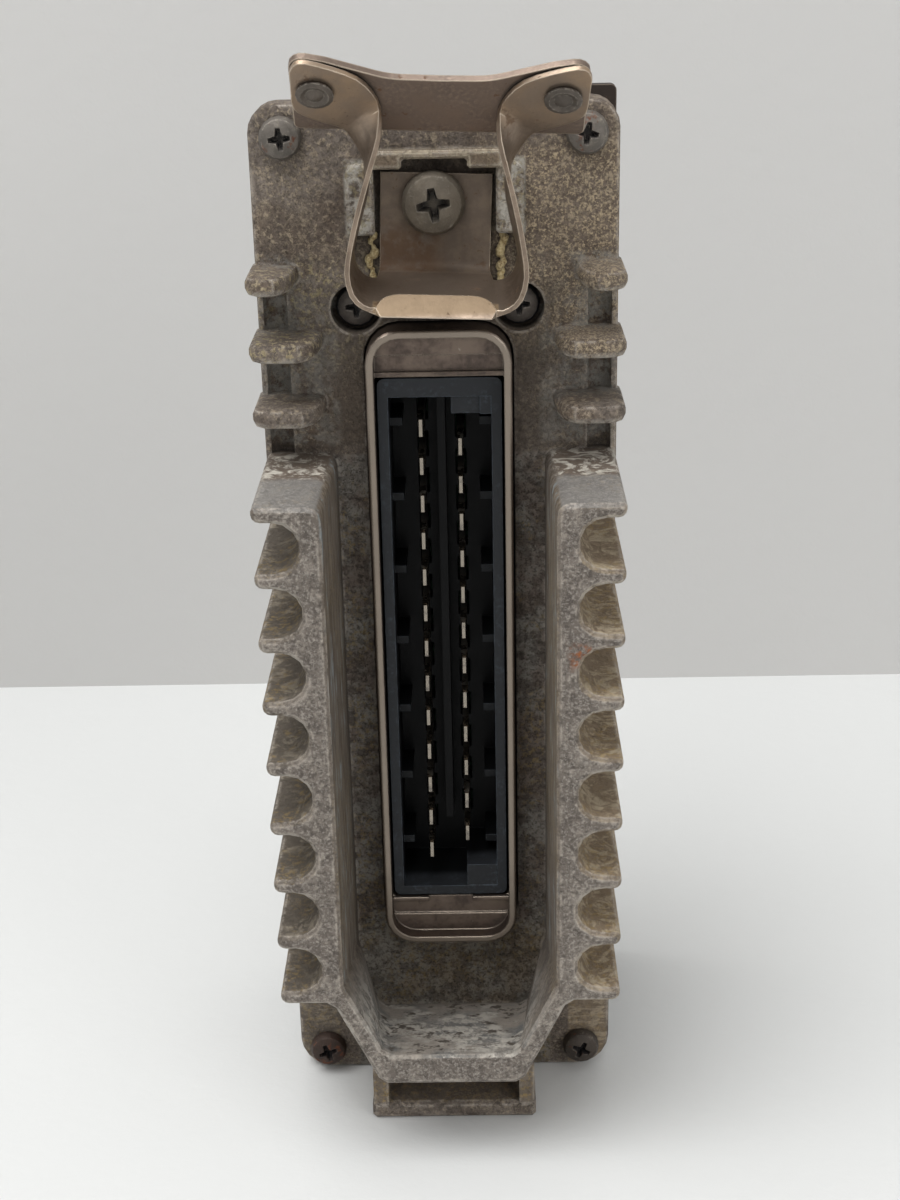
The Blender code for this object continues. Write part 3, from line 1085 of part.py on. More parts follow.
def build_mounting_plate():
    """Flat steel plate on the cover's back, held by two countersunk screws."""
    outline = rounded_box(MOUNT_LEFT, MOUNT_RIGHT, MOUNT_BOTTOM, MOUNT_TOP, MOUNT_CORNER)
    plate = add_part("mounting_plate", mesh_of("mounting_plate", [prism(outline, MOUNT_FRONT, MOUNT_BACK)]),
                     "plated_steel")
    seat = MOUNT_BACK - GAP / 3
    cone = MOUNT_SCREW_HEAD_RADIUS - MOUNT_SCREW_SHANK_RADIUS
    clearance = GAP * math.sqrt(2)
    holes = [rod(MOUNT_SCREW_X, z, MOUNT_SCREW_SHANK_RADIUS + clearance + cone - MOUNT_THICKNESS - WELD,
                 MOUNT_FRONT - WELD, MOUNT_BACK + WELD, 24, MOUNT_SCREW_HEAD_RADIUS + clearance + WELD)
             for z in MOUNT_SCREW_HEIGHTS]
    cut(plate, "mount_holes", holes)
    profile = [(0, 0), (MOUNT_SCREW_HEAD_RADIUS, 0), (MOUNT_SCREW_SHANK_RADIUS, -cone),
               *shank_profile(MOUNT_SCREW_SHANK_RADIUS, MOUNT_SCREW_LENGTH)[1:]]
    for index, z in enumerate(MOUNT_SCREW_HEIGHTS):
        name = f"mounting_screw_{index + 1}"
        screw = turned(name, profile, "screw_steel", MOUNT_SCREW_X, z, seat, facing=1)
        cut_cross(screw, MOUNT_SCREW_X, z, MOUNT_SCREW_HEAD_RADIUS, seat + GAP, seat - cone * 0.8)


def transistor_legs():
    """Places x, z where the transistors' legs pass through the board."""
    z = TRANSISTOR_Z - TRANSISTOR_HEIGHT / 2 - LEG_DROP
    return [(side * TRANSISTOR_X + shift * LEG_PITCH, z) for side in (-1, 1) for shift in (-1, 0, 1)]


def build_board():
    """Circuit board with its holes."""
    outline = rounded_box(-BOARD_HALF_WIDTH, BOARD_HALF_WIDTH, BOARD_BOTTOM, BOARD_TOP, BOARD_CORNER)
    board = add_part("circuit_board", mesh_of("circuit_board", [prism(outline, BOARD_FRONT, BOARD_BACK)]),
                     "board_laminate")
    span = (BOARD_FRONT - MM, BOARD_BACK + MM)
    holes = [rod(x, z, BOARD_SCREW_SHANK + THREAD_CLEARANCE, *span, 12) for x, z in POSTS]
    holes += [square_hole(x, z, PIN_TAIL_THICKNESS / 2, PIN_TAIL_WIDTH / 2, span) for x, z in pin_places()]
    holes += [square_hole(x, z, LEG_WIDTH / 2, LEG_THICKNESS / 2, span) for x, z in transistor_legs()]
    cut(board, "board_holes", holes)


def square_hole(x, z, half_x, half_z, span):
    """Square hole with the usual clearance round a leg."""
    return box((x - half_x - GAP, span[0], z - half_z - GAP), (x + half_x + GAP, span[1], z + half_z + GAP))


def build_transistors():
    """Power transistors that lie against the casting, with three bent legs each."""
    legs = transistor_legs()
    for index, side in enumerate((-1, 1)):
        x = side * TRANSISTOR_X
        low, high = TRANSISTOR_Z - TRANSISTOR_HEIGHT / 2, TRANSISTOR_Z + TRANSISTOR_HEIGHT / 2
        body = box((x - TRANSISTOR_WIDTH / 2, SEAL_FRONT, low),
                   (x + TRANSISTOR_WIDTH / 2, SEAL_FRONT + TRANSISTOR_DEPTH, high))
        name = f"power_transistor_{index + 1}"
        transistor = add_part(name, mesh_of(name, [body]), "black_plastic")
        middle = SEAL_FRONT + TRANSISTOR_DEPTH / 2
        down, back = [], []
        for leg_x, leg_z in legs[index * 3:index * 3 + 3]:
            edges = (leg_x - LEG_WIDTH / 2, leg_x + LEG_WIDTH / 2)
            down.append(box((edges[0], middle - LEG_THICKNESS / 2, leg_z - LEG_THICKNESS / 2),
                            (edges[1], middle + LEG_THICKNESS / 2, low + WELD)))
            back.append(box((edges[0], middle, leg_z - LEG_THICKNESS / 2),
                            (edges[1], BOARD_BACK + LEG_BEYOND_BOARD, leg_z + LEG_THICKNESS / 2)))
        fuse(transistor, name + "_legs_down", down)
        fuse(transistor, name + "_legs_back", back)


def block(name, x, z, width, height, depth, finish, corner=CHIP_ROUND):
    """Flat-sided part on the back of the board."""
    outline = rounded_box(x - width / 2, x + width / 2, z - height / 2, z + height / 2, corner)
    return add_part(name, mesh_of(name, [prism(outline, ABOVE_BOARD, ABOVE_BOARD + depth)]), finish)


def build_board_parts():
    """Chips, crystal, capacitors and choke on the back of the board."""
    block("processor_chip", CHIP_X, CHIP_Z, CHIP_SIZE, CHIP_SIZE, CHIP_DEPTH, "black_plastic")
    block("memory_chip", MEMORY_X, MEMORY_Z, MEMORY_WIDTH, MEMORY_LENGTH, MEMORY_DEPTH, "black_plastic")
    block("crystal", 0, CRYSTAL_Z, CRYSTAL_WIDTH, CRYSTAL_HEIGHT, CRYSTAL_DEPTH, "can_metal", CRYSTAL_CORNER)
    radius, height = CAPACITOR_RADIUS, CAPACITOR_HEIGHT
    can = [(0, height), (radius - CHIP_ROUND, height), (radius, height - CHIP_ROUND), (radius, 0), (0, 0)]
    for index, side in enumerate((-1, 1)):
        name = f"capacitor_{index + 1}"
        turned(name, can, "can_metal", side * CAPACITOR_X, CAPACITOR_Z, ABOVE_BOARD, facing=1)
    section = rounded_box(CHOKE_HOLE, CHOKE_RADIUS, 0, CHOKE_DEPTH, MM, 2)
    turned("choke", section[::-1], "rubber", CHOKE_X, CHOKE_Z, ABOVE_BOARD, facing=1, closed=True, steps=12)


def main():
    """Builds the whole unit."""
    set_up()
    build_casting()
    build_screws()
    build_latch()
    build_collar()
    build_socket()
    build_pins()
    build_seals()
    build_cover()
    build_mounting_plate()
    build_board()
    build_transistors()
    build_board_parts()


main()
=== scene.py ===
import bpy
import math
import random
from mathutils import Matrix, Vector


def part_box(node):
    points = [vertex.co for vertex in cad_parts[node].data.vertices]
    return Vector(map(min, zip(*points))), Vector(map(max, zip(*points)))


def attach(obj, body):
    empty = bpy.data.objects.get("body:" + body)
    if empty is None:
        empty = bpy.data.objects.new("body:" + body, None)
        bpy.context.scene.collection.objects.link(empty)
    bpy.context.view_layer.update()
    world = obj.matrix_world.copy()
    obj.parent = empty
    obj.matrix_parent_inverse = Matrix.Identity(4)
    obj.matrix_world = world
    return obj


bl_info = {
    "name": "Engine control unit",
    "version": (1, 0, 0),
    "blender": (4, 5, 0),
    "location": "3D View > Sidebar > Control unit",
    "description": "Weathered finishes, corrosion and stage for the engine control unit",
    "category": "Object",
}

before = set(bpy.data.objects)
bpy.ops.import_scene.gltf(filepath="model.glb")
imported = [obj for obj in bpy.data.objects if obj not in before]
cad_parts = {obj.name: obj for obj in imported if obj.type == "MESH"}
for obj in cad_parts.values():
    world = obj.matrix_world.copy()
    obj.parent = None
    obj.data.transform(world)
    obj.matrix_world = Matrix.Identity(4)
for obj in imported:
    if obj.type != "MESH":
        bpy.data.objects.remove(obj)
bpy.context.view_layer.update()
MM = 0.001

# Pieces by finish
PINS = sorted(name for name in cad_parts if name.startswith("contact_pin"))
SOCKET_SCREWS = ["socket_screw_1", "socket_screw_2"]
HIDDEN_SCREWS = ["mounting_screw_1", "mounting_screw_2"] + [f"board_screw_{index}" for index in range(1, 5)]
RIVETS = ["latch_rivet_1", "latch_rivet_2"]
BOARD_CHIPS = ["power_transistor_1", "power_transistor_2", "processor_chip", "memory_chip"]
BOARD_CANS = ["capacitor_1", "capacitor_2", "crystal"]

# Places on the unit in mm: the plate's front from the screw heads on it, the shroud, the lugs, the low end, the
# latch pocket round the clamp screw and the ridge above it
SCREW_HEAD = 2.2
MIDDLE_X = (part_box("socket_collar")[0].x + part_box("socket_collar")[1].x) / 2 / MM
PLATE_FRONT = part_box("corner_screw_1")[0].y / MM + SCREW_HEAD
SHROUD_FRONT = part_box("front_casting")[0].y / MM
SHROUD_TOP = 93.0
LUGS_TOP = 118.0
TROUGH_REACH = (7.6, 27.0)
FOOT_REACH = (2.6, 8.5)
LOW_END = 11.0
POCKET_FLOOR = PLATE_FRONT + 1.5
CLAMP_Z = (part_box("latch_screw")[0].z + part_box("latch_screw")[1].z) / 2 / MM
POCKET_BOTTOM = CLAMP_Z - 10.4
RIDGE_TOP = CLAMP_Z + 6.3

# Distances in mm from the upright middle plane to the channel's sides, the roots of fins and lugs, and the foot's
# sides
CHANNEL_HALF = 13.7
FIN_ROOT = 16.3
LUG_ROOT = 12.5
FOOT_HALF = 11.8

# Rays of one look-up for corners or edges: few, because a render averages many
LOOKUP_SAMPLES = 4

# Angle in degrees from which an edge of a CAD solid is a real one
EDGE_ANGLE = 35

# Crusts in mm: their foot and height, how far beside the middle they grow, the radii of their lumps, the fineness
# of the fused mesh, the size and depth of its crumbs, then the share of faces that is kept and the seed of the draws
CRUST_FOOT = POCKET_BOTTOM + 0.7
CRUST_HEIGHT = 5.6
CRUST_BESIDE = (7.5, 8.3)
CRUST_LUMP = (0.35, 0.75)
CRUST_VOXEL = 0.09
CRUST_CRUMB = 0.55
CRUST_ROUGHNESS = 0.25
CRUST_KEPT = 0.6
CRUST_SEED = 7

# Camera fitted to the photograph, in mm and degrees
CAMERA_PLACE = (4.03, -227.44, 162.95)
CAMERA_TILT = 22.007
CAMERA_YAW = 0.973
CAMERA_ROLL = -1.268
CAMERA_LENS = 37.06
CAMERA_SENSOR = 24.0
CAMERA_NEAR = 10.0

# Stage: how far the wall stands behind the unit and the length of both sheets in mm; the lamps' names, places,
# aims and sizes in metres, and their shares of the lamp setting
WALL_BEHIND = 130.0
SHEET_SIZE = 3000.0
LAMPS = (
    ("ceiling_lamp", (-0.25, -0.25, 0.95), (0, 0, 0.05), 0.7, 1.0),
    ("side_lamp", (0.7, -0.7, 0.5), (0, 0, 0.07), 0.5, 0.25),
)


def hex_colour(text):
    """Linear red, green, blue and alpha of an sRGB hex colour."""
    parts = [int(text[index:index + 2], 16) / 255 for index in (1, 3, 5)]
    return [part / 12.92 if part <= 0.04045 else ((part + 0.055) / 1.055) ** 2.4 for part in parts] + [1.0]


def colour_setting(name, description, text):
    """Colour that a user can change, with its default as an sRGB hex value."""
    return bpy.props.FloatVectorProperty(
        name=name, description=description, default=hex_colour(text), size=4, min=0, max=1, subtype="COLOR")


class CastingSettings(bpy.types.PropertyGroup):
    """Finish of the front casting."""
    oxide: colour_setting("Oxide", "Grey-brown skin of old die-cast aluminium", "#7b7168")
    dark_oxide: colour_setting("Dark oxide", "Darker patches of the skin", "#584d45")
    brown: colour_setting("Brown", "Brown film of dirt on the plate", "#625345")
    tan: colour_setting("Tan", "Fine tan grains of corrosion", "#ab9c86")
    salt: colour_setting("Salt", "White corrosion", "#c4beb2")
    blue_salt: colour_setting("Blue salt", "Blue-grey corrosion", "#8e9597")
    ochre: colour_setting("Ochre", "Yellow-brown dirt in the scallops", "#9b8351")
    # Grime also colours the painted shade in the casting's corners
    grime_and_shade: colour_setting("Grime", "Dark dirt in corners and in the channel", "#2d261f")
    edge: colour_setting("Edge", "Metal worn bare on the edges", "#b8afa4")
    grain: bpy.props.FloatProperty(
        name="Grain", description="Size of the finest speckles", default=0.32 * MM, min=0.1 * MM, unit="LENGTH")


class LatchSettings(bpy.types.PropertyGroup):
    """Finish of the latch spring and its lever."""
    steel: colour_setting("Steel", "Tarnished passivated spring steel", "#9b8a7a")
    tan: colour_setting("Tan", "Warmer patches", "#ad957c")
    dull: colour_setting("Dull", "Dark tongue behind the loop", "#6a5d51")
    rust: colour_setting("Rust", "Thin rust", "#5f4732")
    bright: colour_setting("Bright", "Bare metal on the edges", "#d8c8b4")
    lever: colour_setting("Lever", "Brown lever plate", "#7c6d62")


class SocketSettings(bpy.types.PropertyGroup):
    """Finish of the collar, the plastic socket and the contacts."""
    nickel: colour_setting("Nickel", "Tarnished nickel of the collar", "#73665c")
    nickel_bright: colour_setting("Bright nickel", "Rubbed rim of the collar", "#93887c")
    plastic: colour_setting("Plastic", "Black moulded plastic", "#2a2c2f")
    scuff: colour_setting("Scuff", "Grey scuffs on the plastic's edges", "#515a63")
    tin: colour_setting("Tin", "Tinned contact blades", "#938b80")


class CaseSettings(bpy.types.PropertyGroup):
    """Finish of the rear cover, the screws and what they hold."""
    paint: colour_setting("Paint", "Dark paint of the rear cover", "#2e2a27")
    dust: colour_setting("Dust", "Pale dust", "#8d8578")
    screw: colour_setting("Screw", "Dull zinc on the screws", "#6d6760")
    screw_rust: colour_setting("Screw rust", "Rust on the screws", "#5c3420")
    rubber: colour_setting("Rubber", "Black seals", "#1b1b1b")
    laminate: colour_setting("Laminate", "Green lacquer of the board", "#2c5a3a")
    can: colour_setting("Can", "Bare aluminium cans", "#b5b5b8")


class StageSettings(bpy.types.PropertyGroup):
    """Floor, wall and light."""
    floor: colour_setting("Floor", "Painted floor", "#d4d5d4")
    wall: colour_setting("Wall", "Painted wall", "#c3c2c0")
    sky: bpy.props.FloatProperty(name="Sky", description="Strength of the room's light", default=0.62, min=0)
    lamp: bpy.props.FloatProperty(
        name="Lamp", description="Power of the ceiling lamp; the side lamp has a quarter of it", default=8.5, min=0,
        unit="POWER")


def new_finish(name):
    """New material with a bare node tree, and the function that adds its nodes."""
    material = bpy.data.materials.new(name)
    material.use_nodes = True
    tree = material.node_tree
    tree.nodes.clear()

    def add(kind, inputs=None, out=0, **settings):
        """Adds a node with its settings and links, and returns one of its outputs."""
        node = tree.nodes.new(kind)
        for key, value in settings.items():
            setattr(node, key, value)
        for key, value in (inputs or {}).items():
            if isinstance(value, bpy.types.NodeSocket):
                tree.links.new(value, node.inputs[key])
            else:
                node.inputs[key].default_value = value
        return node.outputs[out] if len(node.outputs) else node
    return material, add


def shaded(colour, share):
    """Colour made darker or lighter by a share."""
    return [part * share for part in colour[:3]] + [1.0]


def ramp(add, value, start, end):
    """Mask that grows from none to whole between two levels."""
    return add("ShaderNodeMapRange", {"Value": value, "From Min": start, "From Max": end},
               interpolation_type="SMOOTHSTEP")


def patches(add, place, size, low, high, detail=4.0, roughness=0.6, stretch=(1, 1, 1), swirl=0.0):
    """Irregular patches about so many mm across, which start at one level of a noise and are whole at the next."""
    spread = add("ShaderNodeMapping", {"Vector": place, "Scale": [share / (size * MM) for share in stretch]})
    cloud = add("ShaderNodeTexNoise", {"Vector": spread, "Scale": 1, "Detail": detail, "Roughness": roughness,
                                       "Distortion": swirl})
    return ramp(add, cloud, low, high)


def part_along(add, vector, axis):
    """One part of a vector."""
    return add("ShaderNodeSeparateXYZ", {0: vector}, axis)


def zone(add, place, blur=0.5, **limits):
    """Mask that is whole between limits in mm along x, y or z, with soft borders."""
    masks = []
    for axis, (low, high) in limits.items():
        reach = part_along(add, place, axis.upper())
        if low is not None:
            masks.append(ramp(add, reach, (low - blur) * MM, (low + blur) * MM))
        if high is not None:
            masks.append(ramp(add, reach, (high + blur) * MM, (high - blur) * MM))
    return where_all(add, *masks)


def off_middle(add, place, start, end):
    """Mask that grows with the distance in mm from the unit's upright middle plane."""
    shifted = add("ShaderNodeMath", {0: part_along(add, place, "X"), 1: MIDDLE_X * MM}, operation="SUBTRACT")
    distance = add("ShaderNodeMath", {0: shifted}, operation="ABSOLUTE")
    return ramp(add, distance, start * MM, end * MM)


def facing(add, axis, start, end):
    """Mask of the faces that look along an axis, by the share of their outward normal."""
    return ramp(add, part_along(add, add("ShaderNodeNewGeometry", None, "Normal"), axis), start, end)


def where_all(add, *masks):
    """Mask that is whole only where all the given masks are; numbers weaken it."""
    whole = masks[0]
    for mask in masks[1:]:
        whole = add("ShaderNodeMath", {0: whole, 1: mask}, operation="MULTIPLY")
    return whole


def where_any(add, first, second):
    """Mask that is as whole as the stronger of two masks."""
    return add("ShaderNodeMath", {0: first, 1: second}, operation="MAXIMUM")


def shade_in_hollows(add, reach, dark, light):
    """Mask of corners and hollows for painted shade, read from how much of the air round a point is open."""
    open_air = add("ShaderNodeAmbientOcclusion", {"Distance": reach * MM}, "AO", samples=LOOKUP_SAMPLES)
    return ramp(add, open_air, light, dark)


def worn_edges(add, radius, bare=0.93):
    """Mask of the edges that hands and plugs rub, and the softened normal that finds them."""
    soft = add("ShaderNodeBevel", {"Radius": radius * MM}, samples=LOOKUP_SAMPLES)
    flat = add("ShaderNodeNewGeometry", None, "Normal")
    likeness = add("ShaderNodeVectorMath", {0: soft, 1: flat}, "Value", operation="DOT_PRODUCT")
    return ramp(add, likeness, 0.995, bare), soft


def lay_up(material, add, base, layers, relief, normal=None, gloss=0.5):
    """Ends a material: layers of dirt, corrosion and wear over its base, then its relief.

    The base is a colour, roughness and metallic share; a layer has a mask before those.
    The relief is a list of a height mask and its depth in mm. Gloss is the shine of what isn't metal.
    """
    colour, roughness, metallic = base
    for mask, layer_colour, layer_roughness, layer_metallic in layers:
        colour = add("ShaderNodeMix", {0: mask, 6: colour, 7: layer_colour}, 2, data_type="RGBA")
        roughness = add("ShaderNodeMix", {0: mask, 2: roughness, 3: layer_roughness})
        metallic = add("ShaderNodeMix", {0: mask, 2: metallic, 3: layer_metallic})
    for height, depth in relief:
        inputs = {"Height": height, "Distance": abs(depth) * MM}
        if normal is not None:
            inputs["Normal"] = normal
        normal = add("ShaderNodeBump", inputs, invert=depth < 0)
    inputs = {"Base Color": colour, "Roughness": roughness, "Metallic": metallic, "Specular IOR Level": gloss}
    if normal is not None:
        inputs["Normal"] = normal
    shader = add("ShaderNodeBsdfPrincipled", inputs)
    add("ShaderNodeOutputMaterial", {"Surface": shader})
    return material


def object_place(add):
    """Object coordinates, which on every piece here are the frame's own metres."""
    return add("ShaderNodeTexCoord", None, "Object")


def ragged(add, place, size, reach):
    """Place shifted by a noise, so that what is masked with it has ragged borders."""
    cloud = add("ShaderNodeTexNoise", {"Vector": place, "Scale": 1 / (size * MM), "Detail": 3}, "Color")
    centred = add("ShaderNodeVectorMath", {0: cloud, 1: (0.5, 0.5, 0.5)}, operation="SUBTRACT")
    return add("ShaderNodeVectorMath", {0: centred, 1: [reach * MM] * 3, 2: place}, operation="MULTIPLY_ADD")


def inverse(add, mask):
    """What a mask leaves out."""
    return add("ShaderNodeMath", {0: 1.0, 1: mask}, operation="SUBTRACT")


